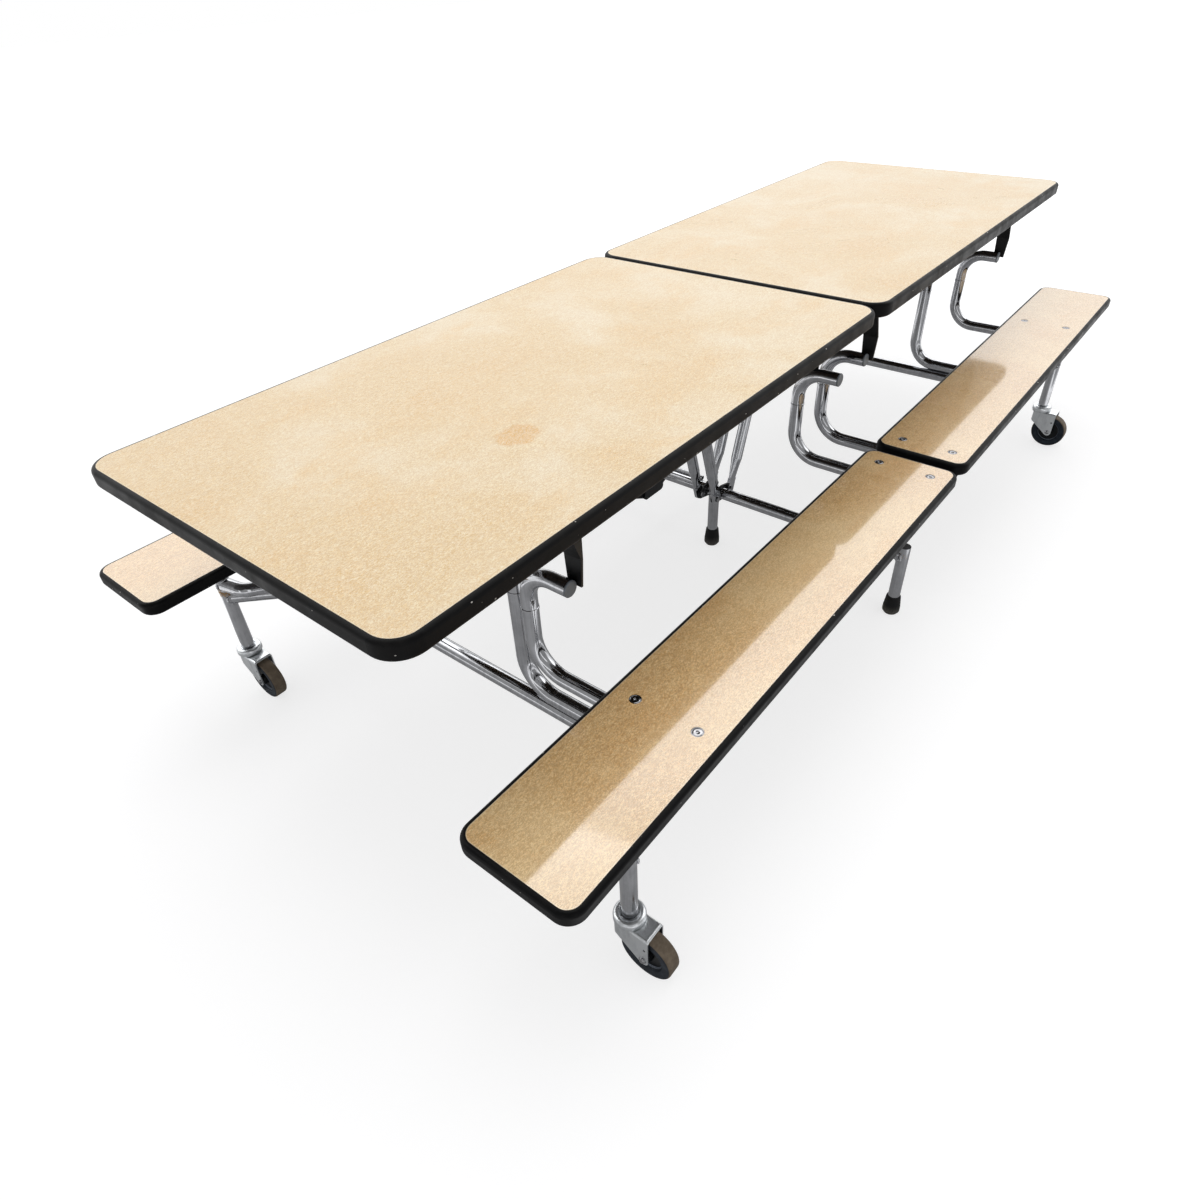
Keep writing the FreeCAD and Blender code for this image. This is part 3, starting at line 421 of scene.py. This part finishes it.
def makeLaminate(name, values, look):
    finish, tree, shader = newFinish(name)
    point = objectPoint(tree)
    clouds = noise(tree, point, values["cloudSize"], detail=4.0, rough=0.6, warp=0.4)
    stretched = placed(tree, point, size=(1, values["patchStretch"], 1))
    patches = noise(tree, stretched, values["patchSize"], rough=0.55, warp=0.3)
    grain = noise(tree, point, values["grainSize"], detail=2.0, rough=0.6)
    colour = blendColours(tree, ramp(tree, clouds, *values["creamRise"]), look["base"], look["cream"])
    warm = ramp(tree, patches, *values["warmRise"], 0.0, values["warmShare"])
    colour = blendColours(tree, warm, colour, look["warm"])
    for place, stretch, radius in look["stains"]:
        rag = sums(tree, "MULTIPLY", noise(tree, point, values["stainRagSize"], detail=2.0),
                   radius * values["stainRag"])
        ragged = sums(tree, "ADD", reach(tree, point, place, stretch), rag)
        fadeFrom, fadeTo = (radius * share for share in values["stainFade"])
        stained = ramp(tree, ragged, fadeFrom, fadeTo, values["stainShare"], 0.0)
        colour = blendColours(tree, stained, colour, values["stain"])
    dark, light = (
        sums(tree, "MAXIMUM", *(wiggles(tree, point, turn, values["fibreSize"] * share, stretch)
                                for turn, share, stretch in values[layers]))
        for layers in ("darkFibres", "lightFibres"))
    pale = sums(tree, "MULTIPLY", light, values["lightFibre"])
    colour = blendColours(tree, pale, colour, look["lightFibre"])
    worn = ramp(tree, clouds, *values["wornRise"], 1.0, values["wornFibre"])
    strong = sums(tree, "MULTIPLY", worn, values["darkFibre"])
    colour = blendColours(tree, sums(tree, "MULTIPLY", dark, strong), colour, look["fibre"])
    distance, chance = cells(tree, point, values["speckSize"])
    rare = ramp(tree, apart(tree, chance)[0], *values["speckRare"])
    dot = ramp(tree, distance, *values["speckRadius"], values["speckShare"], 0.0)
    colour = blendColours(tree, sums(tree, "MULTIPLY", dot, rare), colour, values["speck"])
    # painted highlight along the board's edge
    inside = edgeDistance(tree, point, look["board"], look["cornerRadius"])
    edge = ramp(tree, inside, *values["edgeHighlightWidth"], values["edgeHighlightShare"], 0.0)
    colour = blendColours(tree, edge, colour, values["edgeHighlight"])
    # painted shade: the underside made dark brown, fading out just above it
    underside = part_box(look["board"])[0][2]
    fullTo, fadeTo = (underside + height for height in values["undersideShadeTop"])
    low = ramp(tree, apart(tree, point)[2], fullTo, fadeTo, 1.0, 0.0)
    colour = blendColours(tree, low, colour, values["undersideShade"])
    tree.links.new(colour, shader.inputs["Base Color"])
    rough = ramp(tree, clouds, *values["roughRise"], *values["roughness"])
    tree.links.new(rough, shader.inputs["Roughness"])
    shader.inputs["Specular IOR Level"].default_value = look["specular"]
    shader.inputs["Coat Weight"].default_value = look["coat"]
    shader.inputs["Coat IOR"].default_value = look["coatIor"]
    shader.inputs["Coat Roughness"].default_value = look["coatRoughness"]
    bumpy(tree, shader, sums(tree, "ADD", dark, grain), *values["bump"])
    return finish


topLaminate = makeLaminate("topLaminate", laminateLook, topLook)
benchLaminate = makeLaminate("benchLaminate", laminateLook, benchLook)


edgingLook = {
    "cloudSize": 22.0,
    "fineSize": 420.0,
    "black": tone(13, 13, 14),
    "worn": tone(30, 29, 28),
    "wornRise": (0.5, 0.8),
    "wornShare": 0.7,
    "nick": tone(205, 202, 196),
    "nickSize": 55.0,
    "nickStretch": 1.6,
    "nickRare": (0.62, 0.64),
    "nickRadius": (0.09, 0.13),
    "nickRag": 0.06,
    "nickDepth": 2.0,
    "seam": tone(120, 112, 100),        # painted highlight: a paler line on the edging beside the laminate
    "seamRise": (-0.0009, -0.0003),
    "seamShare": 0.4,
    "roughRise": (0.3, 0.8),
    "roughness": (0.34, 0.54),
    "specular": 0.08,
    "bump": (0.2, 0.0003),
}


def makeEdging(name, values, look):
    finish, tree, shader = newFinish(name)
    point = objectPoint(tree)
    cloudy = noise(tree, point, values["cloudSize"], rough=0.6)
    fine = noise(tree, point, values["fineSize"], detail=2.0)
    worn = ramp(tree, cloudy, *values["wornRise"], 0.0, values["wornShare"])
    colour = blendColours(tree, worn, values["black"], values["worn"])
    stretched = placed(tree, point, size=(1, 1, values["nickStretch"]))
    distance, chance = cells(tree, stretched, values["nickSize"])
    rare = ramp(tree, apart(tree, chance)[1], *values["nickRare"])
    ragged = sums(tree, "ADD", distance, sums(tree, "MULTIPLY", fine, values["nickRag"]))
    nick = sums(tree, "MULTIPLY", ramp(tree, ragged, *values["nickRadius"], 1.0, 0.0), rare)
    colour = blendColours(tree, nick, colour, values["nick"])
    # painted highlight on the edging, just outside the board's edge
    inside = edgeDistance(tree, point, look["board"], look["cornerRadius"])
    seam = ramp(tree, inside, *values["seamRise"], 0.0, values["seamShare"])
    colour = blendColours(tree, seam, colour, values["seam"])
    tree.links.new(colour, shader.inputs["Base Color"])
    rough = ramp(tree, cloudy, *values["roughRise"], *values["roughness"])
    tree.links.new(rough, shader.inputs["Roughness"])
    shader.inputs["Specular IOR Level"].default_value = values["specular"]
    height = sums(tree, "ADD", fine, sums(tree, "MULTIPLY", nick, -values["nickDepth"]))
    bumpy(tree, shader, height, *values["bump"])
    return finish


topVinyl = makeEdging("topVinyl", edgingLook, topLook)
benchVinyl = makeEdging("benchVinyl", edgingLook, benchLook)


chromeLook = {
    "cloudSize": 30.0,
    "fineSize": 260.0,
    "metal": tone(188, 189, 192),
    # the dull colour takes the plating's own cloudy dull patches and painted reflection streaks stretched
    # along Z
    "dull": tone(152, 153, 157),
    "dullRise": (0.40, 0.66),
    "dullAndStreakShare": 0.6,
    "reflectionStreakSize": 160.0,
    "reflectionStreakStretch": 0.04,
    "cap": tone(112, 119, 127),         # the duller plugs in the hooked ends
    "capAcross": (0.3348, 0.3395),
    "capHeights": (0.574, 0.610),
    "roughRise": (0.35, 0.75),
    "roughness": (0.09, 0.16),
    "unplatedMetal": 0.25,      # how metallic rust and plugs are, and how much rougher
    "unplatedRough": 0.4,
    "bump": (0.03, 0.0003),
    "rust": tone(104, 68, 36),          # where water stands
    "lightRust": tone(184, 146, 90),
    "lightRustRise": (0.4, 0.65),
    "rustRise": (0.66, 0.74),
    "rustWeights": (0.34, 0.5, 0.22),   # of standing water, the fine noise and the clouds
    "rustFade": (0.4, 1.3),     # in the radii of a patch
    "rustPlaces": (             # place in the +X +Y quarter, radius of the patch
        ((0.245, 0.065, 0.525), 0.012),
        ((0.245, 0.965, 0.525), 0.012),
        ((0.252, 0.065, 0.440), 0.013),
        ((0.252, 0.965, 0.440), 0.013),
        ((0.548, 1.115, 0.290), 0.030),
        ((0.532, 0.000, 0.178), 0.022),
        ((0.000, 0.000, 0.150), 0.020),
    ),
}


def makeChrome(name, values):
    finish, tree, shader = newFinish(name)
    point = objectPoint(tree)
    quarter = mirrored(tree, point)
    cloudy = noise(tree, point, values["cloudSize"], detail=4.0, rough=0.65)
    fine = noise(tree, point, values["fineSize"], detail=4.0, rough=0.7)
    water = 0.0
    for place, radius in values["rustPlaces"]:
        fadeFrom, fadeTo = (radius * share for share in values["rustFade"])
        patch = ramp(tree, reach(tree, quarter, place), fadeFrom, fadeTo, 1.0, 0.0)
        water = sums(tree, "MAXIMUM", water, patch)
    spotted = 0.0
    for value, weight in zip((water, fine, cloudy), values["rustWeights"]):
        spotted = sums(tree, "ADD", spotted, sums(tree, "MULTIPLY", value, weight))
    rust = ramp(tree, spotted, *values["rustRise"])
    # painted reflection: dark streaks along Z, mixed with the plating's cloudy dull patches
    stretched = placed(tree, point, size=(1, 1, values["reflectionStreakStretch"]))
    paintedStreaks = noise(tree, stretched, values["reflectionStreakSize"], detail=2.0, rough=0.6)
    dullAndStreaks = sums(tree, "MULTIPLY", sums(tree, "ADD", cloudy, paintedStreaks), 0.5)
    dull = ramp(tree, dullAndStreaks, *values["dullRise"], 0.0, values["dullAndStreakShare"])
    metal = blendColours(tree, dull, values["metal"], values["dull"])
    light = ramp(tree, fine, *values["lightRustRise"])
    stained = blendColours(tree, light, values["rust"], values["lightRust"])
    across, _, height = apart(tree, quarter)
    inPlug = 1.0
    for value, (least, most) in ((across, values["capAcross"]), (height, values["capHeights"])):
        inPlug = sums(tree, "MULTIPLY", inPlug, sums(tree, "GREATER_THAN", value, least))
        inPlug = sums(tree, "MULTIPLY", inPlug, sums(tree, "LESS_THAN", value, most))
    metal = blendColours(tree, inPlug, metal, values["cap"])
    tree.links.new(blendColours(tree, rust, metal, stained), shader.inputs["Base Color"])
    unplated = sums(tree, "MAXIMUM", rust, inPlug)
    tree.links.new(between(tree, unplated, 1.0, values["unplatedMetal"]), shader.inputs["Metallic"])
    rough = ramp(tree, cloudy, *values["roughRise"], *values["roughness"])
    rougher = sums(tree, "ADD", rough, sums(tree, "MULTIPLY", unplated, values["unplatedRough"]))
    tree.links.new(rougher, shader.inputs["Roughness"])
    bumpy(tree, shader, sums(tree, "ADD", fine, rust), *values["bump"])
    return finish


chromeTube = makeChrome("chromeTube", chromeLook)


zincLook = {
    "metal": tone(220, 223, 225),
    "dull": tone(193, 196, 199),
    "grainSize": 90.0,
    "roughness": (0.28, 0.37),
    "bump": (0.02, 0.0002),
}
boltLook = {
    "metal": tone(152, 152, 154),
    "dull": tone(118, 118, 121),
    "grainSize": 300.0,
    "roughness": (0.05, 0.14),
    "bump": (0.02, 0.0002),
}
blackSteelLook = {
    "dark": tone(14, 15, 16),
    "light": tone(25, 25, 27),
    "grainSize": 700.0,
    "roughness": (0.30, 0.46),
    "specular": 0.25,
    "bump": (0.12, 0.0002),
}
rubberLook = {
    "dark": tone(18, 18, 19),
    "light": tone(32, 32, 33),
    "grainSize": 300.0,
    "roughness": (0.54, 0.70),
    "specular": 0.25,
    "bump": (0.25, 0.0002),
    "dust": tone(150, 146, 138),
    "dustShare": 0.8,           # at the floor
    "dustHeight": 0.03,
}


def makeMetal(name, values, cloudShare=0.2, stretch=0.3, dullRise=(0.42, 0.72), roughRise=(0.3, 0.7)):
    finish, tree, shader = newFinish(name)
    point = objectPoint(tree)
    cloudy = noise(tree, point, values["grainSize"] * cloudShare, detail=4.0, rough=0.6)
    stretched = placed(tree, point, size=(1, 1, stretch))
    fine = noise(tree, stretched, values["grainSize"], detail=2.0)
    share = ramp(tree, sums(tree, "MULTIPLY", sums(tree, "ADD", cloudy, fine), 0.5), *dullRise)
    colour = blendColours(tree, share, values["metal"], values["dull"])
    tree.links.new(colour, shader.inputs["Base Color"])
    shader.inputs["Metallic"].default_value = 1.0
    tree.links.new(ramp(tree, fine, *roughRise, *values["roughness"]), shader.inputs["Roughness"])
    bumpy(tree, shader, fine, *values["bump"])
    return finish


def makeDull(name, values, cloudShare=0.1, lightRise=(0.42, 0.75), roughRise=(0.3, 0.7)):
    finish, tree, shader = newFinish(name)
    point = objectPoint(tree)
    cloudy = noise(tree, point, values["grainSize"] * cloudShare, detail=4.0, rough=0.6)
    fine = noise(tree, point, values["grainSize"], rough=0.6)
    colour = blendColours(tree, ramp(tree, cloudy, *lightRise), values["dark"], values["light"])
    if "dust" in values:
        low = ramp(tree, apart(tree, point)[2], 0.0, values["dustHeight"], values["dustShare"], 0.0)
        colour = blendColours(tree, sums(tree, "MULTIPLY", low, fine), colour, values["dust"])
    tree.links.new(colour, shader.inputs["Base Color"])
    tree.links.new(ramp(tree, cloudy, *roughRise, *values["roughness"]), shader.inputs["Roughness"])
    shader.inputs["Specular IOR Level"].default_value = values["specular"]
    bumpy(tree, shader, fine, *values["bump"])
    return finish


zincPlate = makeMetal("zincPlate", zincLook)
boltSteel = makeMetal("boltSteel", boltLook)
blackSteel = makeDull("blackSteel", blackSteelLook)
footRubber = makeDull("footRubber", rubberLook)


wheelLook = {
    "cloudSize": 60.0,
    "fineSize": 500.0,
    "tread": tone(104, 92, 78),
    "treadWorn": tone(126, 113, 97),
    "wornRise": (0.35, 0.7),
    "treadRise": (0.0468, 0.0488),      # radii where the tread begins and is full
    "side": tone(34, 40, 48),
    "sideLight": tone(52, 59, 68),
    "lightRise": (0.4, 0.75),
    "ring": tone(104, 110, 120),
    "ringFrom": 0.0292,
    "ringTo": 0.0312,
    "ringFade": 0.0004,
    "hub": tone(12, 14, 17),
    "roughness": (0.35, 0.55),          # of the hub and of the rubber
    "specular": 0.2,
    "bump": (0.15, 0.0003),
}


def makeTyre(name, wheelNode, values):
    finish, tree, shader = newFinish(name)
    point = objectPoint(tree)
    low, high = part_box(wheelNode)
    radius = reach(tree, point, (low + high) / 2, (1, 0.0001, 1))      # flattened along the axle
    cloudy = noise(tree, point, values["cloudSize"], detail=4.0, rough=0.65)
    fine = noise(tree, point, values["fineSize"], rough=0.6)
    worn = ramp(tree, cloudy, *values["wornRise"])
    tread = blendColours(tree, worn, values["tread"], values["treadWorn"])
    light = ramp(tree, cloudy, *values["lightRise"])
    side = blendColours(tree, light, values["side"], values["sideLight"])
    ringFrom, ringTo, fade = values["ringFrom"], values["ringTo"], values["ringFade"]
    colour = blendColours(tree, ramp(tree, radius, ringTo - fade, ringTo), values["ring"], side)
    colour = blendColours(tree, ramp(tree, radius, ringFrom - fade, ringFrom), values["hub"], colour)
    colour = blendColours(tree, ramp(tree, radius, *values["treadRise"]), colour, tread)
    tree.links.new(colour, shader.inputs["Base Color"])
    rough = ramp(tree, radius, ringFrom, ringTo, *values["roughness"])
    tree.links.new(rough, shader.inputs["Roughness"])
    shader.inputs["Specular IOR Level"].default_value = values["specular"]
    bumpy(tree, shader, fine, *values["bump"])
    return finish


def dress(name, finish):
    slots = nodes[name].data.materials
    if len(slots):
        for index in range(len(slots)):
            slots[index] = finish
    else:
        slots.append(finish)


chromeParts = ("arm", "uprights", "crossbar", "legs", "hinge_tube", "struts", "lift_rod")
for name in nodes:
    if name.endswith("_top_board"):
        dress(name, topLaminate)
    elif name.endswith("_bench_board"):
        dress(name, benchLaminate)
    elif name.endswith("_top_edging"):
        dress(name, topVinyl)
    elif name.endswith("_bench_edging"):
        dress(name, benchVinyl)
    elif name.endswith("_wheel"):
        dress(name, makeTyre(name + "Finish", name, wheelLook))
    elif name.endswith(chromeParts):
        dress(name, chromeTube)
    elif name.endswith(("_fork", "_stems")):
        dress(name, zincPlate)
    elif name.endswith(("_bolts", "_axle")):
        dress(name, boltSteel)
    elif name.endswith("_feet"):
        dress(name, footRubber)
    else:
        dress(name, blackSteel)
print("finishes put on", len(nodes), "nodes")


def addCylinder(name, radius, low, high, sides=48):
    # an upright cylinder round the Z axis, left open in edit mode with nothing picked
    pickNone()
    bpy.ops.mesh.primitive_cylinder_add(vertices=sides, radius=radius, depth=high - low,
                                        location=(0, 0, (low + high) / 2))
    piece = bpy.context.object
    piece.name = name
    bpy.ops.object.transform_apply(location=True, rotation=True, scale=True)
    bpy.ops.object.mode_set(mode="EDIT")
    bpy.ops.mesh.select_mode(type="FACE")
    bpy.ops.mesh.select_all(action="DESELECT")
    return piece


def pickEnd(piece, direction):
    # the flat face that looks in a direction and lies furthest that way
    bpy.ops.object.mode_set(mode="OBJECT")
    way = Vector(direction)
    furthest = max(face.center.dot(way) for face in piece.data.polygons if face.normal.dot(way) > 0.9)
    for face in piece.data.polygons:
        face.select = face.normal.dot(way) > 0.9 and face.center.dot(way) > furthest - 0.00001
    bpy.ops.object.mode_set(mode="EDIT")


def stepFace(piece, direction, steps):
    # each step draws the end face in and moves it out, both in millimetres
    pickEnd(piece, direction)
    for inward, outward in steps:
        bpy.ops.mesh.inset(thickness=inward / 1000, depth=outward / 1000)


def closePiece(piece, finish, bevel=0.0, angle=35):
    # out of edit mode; edges over the angle, in degrees, stay sharp or get the bevel
    bpy.ops.mesh.select_all(action="SELECT")
    bpy.ops.mesh.normals_make_consistent(inside=False)
    bpy.ops.object.mode_set(mode="OBJECT")
    if bevel:
        rim = piece.modifiers.new("rim", "BEVEL")
        rim.width = bevel
        rim.segments = 2
        rim.angle_limit = math.radians(angle)
        bpy.ops.object.modifier_apply(modifier="rim")
    bpy.ops.object.shade_smooth_by_angle(angle=math.radians(angle))
    piece.data.materials.clear()
    piece.data.materials.append(finish)


def joined(pieces, name):
    pickNone()
    for piece in pieces:
        piece.select_set(True)
    bpy.context.view_layer.objects.active = pieces[0]
    if len(pieces) > 1:
        bpy.ops.object.join()
    pieces[0].name = name
    return pieces[0]


def copied(model, name, matrices):
    # one piece from a model set in several places, with its own mesh
    pieces = []
    for matrix in matrices:
        piece = bpy.data.objects.new(name, model.data.copy())
        piece.data.transform(matrix)
        bpy.context.scene.collection.objects.link(piece)
        pieces.append(piece)
    return joined(pieces, name)


def drop(model):
    bpy.data.objects.remove(model, do_unlink=True)


# bench bolts: a rim, a groove and a slightly raised middle with a round socket
benchBolt = {
    "headRadius": 0.0099,
    "headHeight": 0.003,
    "spacing": 0.114,
    "bevel": 0.00025,
    "rimWidth": 1.3,            # from here on in millimetres
    "grooveWidth": 0.9,
    "grooveDepth": 0.9,
    "crown": 0.12,
    "socketWidth": 5.2,
    "socketDepth": 1.4,
    "socketDraft": 0.08,
    "socketPit": 0.4,
    "shankRadius": 4.0,
    "draft": 0.05,              # how far the other walls lean in
}


def makeBenchBolts(values):
    low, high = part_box("near_bench_bolts")
    head, draft = values["headRadius"], values["draft"]
    model = addCylinder("benchBoltModel", head, high.z - values["headHeight"], high.z)
    middle = head * 1000 - values["rimWidth"] - values["grooveWidth"]
    slope = middle - values["socketWidth"] / 2
    stepFace(model, (0, 0, 1), (
        (values["rimWidth"], 0.0), (draft, -values["grooveDepth"]),
        (values["grooveWidth"] - 2 * draft, 0.0), (draft, values["grooveDepth"]),
        (slope * 0.4, values["crown"] * 0.7), (slope * 0.6, values["crown"] * 0.3),
        (values["socketDraft"], -values["socketDepth"]),
        (values["socketWidth"] * 0.2, -values["socketPit"])))
    shank = (high.z - values["headHeight"] - low.z) * 1000
    stepFace(model, (0, 0, -1), ((head * 1000 - values["shankRadius"] - draft, 0.0), (draft, shank)))
    closePiece(model, boltSteel, values["bevel"])
    across = (high.x - head, high.x - head - values["spacing"])
    along = (abs(low.y) - head, abs(high.y) + head)
    for half, end in (("near", -1), ("far", 1)):
        places = [Matrix.Translation((side * x, end * y, 0))
                  for side in (-1, 1) for x in across for y in along]
        bolts = copied(model, half + "BenchBolts", places)
        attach(bolts, half + "_half")
        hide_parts(half + "_bench_bolts")
    drop(model)


makeBenchBolts(benchBolt)
print("bench bolts made")


# caster axles: a domed head at one end, a nut and the bolt's end at the other
casterAxle = {
    "radius": 0.004,
    "headRadius": 0.0068,
    "flange": 0.0012,
    "dome": ((0.7, 0.1), (0.5, 0.9), (0.9, 1.0), (1.4, 0.8), (1.6, 0.4)),       # millimetres in and out
    "headHeight": 0.005,
    "nutRadius": 0.0074,
    "nutHeight": 0.0035,
    "nutEnd": ((0.9, 0.3), (3.2, 0.0), (0.05, 1.0), (0.4, 0.3)),        # over the nut and up the bolt
    "bevel": 0.0002,
}


def makeCasterAxles(values):
    low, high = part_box("near_left_caster_axle")
    outer = (high.y - low.y) / 2 - values["headHeight"]
    shank = addCylinder("axleShank", values["radius"], -outer, outer, sides=32)
    closePiece(shank, boltSteel)
    head = addCylinder("axleHead", values["headRadius"], outer, outer + values["flange"])
    stepFace(head, (0, 0, 1), values["dome"])
    closePiece(head, boltSteel, values["bevel"], angle=50)
    nut = addCylinder("axleNut", values["nutRadius"], -outer - values["nutHeight"], -outer, sides=6)
    stepFace(nut, (0, 0, -1), values["nutEnd"])
    closePiece(nut, boltSteel, values["bevel"], angle=20)
    model = joined([shank, head, nut], "axleModel")
    model.data.transform(Matrix.Rotation(math.radians(90), 4, "X"))
    for half in ("near", "far"):
        for side in ("left", "right"):
            node = f"{half}_{side}_caster_axle"
            low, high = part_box(node)
            axle = copied(model, half + side.capitalize() + "Axle", [Matrix.Translation((low + high) / 2)])
            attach(axle, f"{half}_{side}_caster")
            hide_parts(node)
    drop(model)


makeCasterAxles(casterAxle)
print("caster axles made")


# upper races: a rounded ring round the leg, a skirt over the lower race, and the kingpin
upperRace = {
    "radius": 0.0276,
    "skirtLow": 0.1138,
    "skirtHigh": 0.1216,
    "crown": ((0.6, 2.4), (1.4, 2.2), (2.2, 1.5), (2.9, 0.6), (2.4, -0.4), (1.7, -1.2), (0.1, -2.2),
              (4.2, 0.0), (0.05, 46.0)),        # over the ring, down into its recess and up the plug
    "bevel": 0.0003,
    "hollow": ((1.8, 0.0), (0.1, -6.2), (18.7, 0.0)),
    "kingpinDraft": 0.05,
    "kingpinHeadRadius": 0.011,
    "kingpinHeadHeight": 0.004,
    "kingpinHead": ((1.6, 0.5), (2.0, 0.3)),
    "kingpinBevel": 0.0002,
    "solidRadius": 0.024,       # of the solid that it replaces, from the leg's axis to its side
}


def makeUpperRaces(values):
    low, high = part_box("near_caster_stems")
    ring = addCylinder("raceRing", values["radius"], values["skirtLow"], values["skirtHigh"], sides=64)
    stepFace(ring, (0, 0, 1), values["crown"])
    headTop = low.z + values["kingpinHeadHeight"]
    pin = (values["skirtLow"] - headTop) * 1000 - sum(step[1] for step in values["hollow"])
    stepFace(ring, (0, 0, -1), values["hollow"] + ((values["kingpinDraft"], pin),))
    closePiece(ring, zincPlate, values["bevel"], angle=40)
    head = addCylinder("kingpinHead", values["kingpinHeadRadius"], low.z, headTop)
    stepFace(head, (0, 0, -1), values["kingpinHead"])
    closePiece(head, zincPlate, values["kingpinBevel"])
    model = joined([ring, head], "raceModel")
    across, along = high.x - values["solidRadius"], (abs(low.y) + abs(high.y)) / 2
    for half, end in (("near", -1), ("far", 1)):
        places = [Matrix.Translation((side * across, end * along, 0)) for side in (-1, 1)]
        races = copied(model, half + "UpperRaces", places)
        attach(races, half + "_leg_frame")
        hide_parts(half + "_caster_stems")
    drop(model)


makeUpperRaces(upperRace)
print("upper races made")


# weld beads where tubes end on other tubes
weldBead = {
    "thickness": 0.0022,
    "stepsRound": 78,
    "stepsAcross": 10,
    "ripples": 26,
    "rippleShare": 0.28,
    "legRadius": 0.0143,
    "frameRadius": 0.0159,
}
# in the +X +Y quarter: where a tube's line meets the leg, and where it comes from
frameWelds = (
    (Vector((0.548, 1.115, 0.268)), Vector((0.423, 0.918, 0.230))),
    (Vector((0.548, 1.115, 0.305)), Vector((0.493, 1.100, 0.300))),
)


def makeBead(name, meeting, source, tubeRadius, hostAxis, hostRadius, values):
    # a rippled ring laid on the curve where a tube ends on a round host
    pickNone()
    bpy.ops.mesh.primitive_torus_add(
        major_radius=tubeRadius, minor_radius=values["thickness"],
        major_segments=values["stepsRound"], minor_segments=values["stepsAcross"])
    bead = bpy.context.object
    bead.name = name
    along = (meeting - source).normalized()
    sideways = along.cross(hostAxis).normalized()
    upward = sideways.cross(along)
    slant = along - hostAxis * along.dot(hostAxis)
    for vertex in bead.data.vertices:
        angle = math.atan2(vertex.co.y, vertex.co.x)
        swell = 1 + values["rippleShare"] * math.sin(values["ripples"] * angle)
        outward = sideways * math.cos(angle) + upward * math.sin(angle)
        across = outward * tubeRadius
        off = across - hostAxis * across.dot(hostAxis)
        inner = off.dot(slant)
        depth = inner * inner - slant.length_squared * (off.length_squared - hostRadius ** 2)
        back = (inner + math.sqrt(max(depth, 0.0))) / slant.length_squared
        spread = (math.hypot(vertex.co.x, vertex.co.y) - tubeRadius) * swell
        vertex.co = meeting - along * back + across + outward * spread + along * vertex.co.z * swell
    bpy.ops.object.mode_set(mode="EDIT")
    closePiece(bead, chromeTube, angle=60)
    return bead


def makeWelds(values):
    up = Vector((0, 0, 1))
    for half, end in (("near", -1), ("far", 1)):
        beads = []
        for side in (-1, 1):
            turn = Vector((side, end, 1))
            for meeting, source in frameWelds:
                beads.append(makeBead("bead", meeting * turn, source * turn, values["frameRadius"], up,
                                      values["legRadius"], values))
        welds = joined(beads, half + "FrameWelds")
        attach(welds, half + "_leg_frame")
    low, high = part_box("centre_crossbar")
    height = (low.z + high.z) / 2
    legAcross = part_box("centre_legs")[1].x - values["legRadius"]
    beads = [makeBead("bead", Vector((side * legAcross, 0, height)), Vector((0, 0, height)),
                      values["frameRadius"], up, values["legRadius"], values) for side in (-1, 1)]
    beads.append(makeBead("bead", Vector((0, 0, height)), Vector((0, 0, 0)), values["legRadius"],
                          Vector((1, 0, 0)), values["frameRadius"], values))
    welds = joined(beads, "centreWelds")
    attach(welds, "centre_frame")


makeWelds(weldBead)
print("weld beads made")
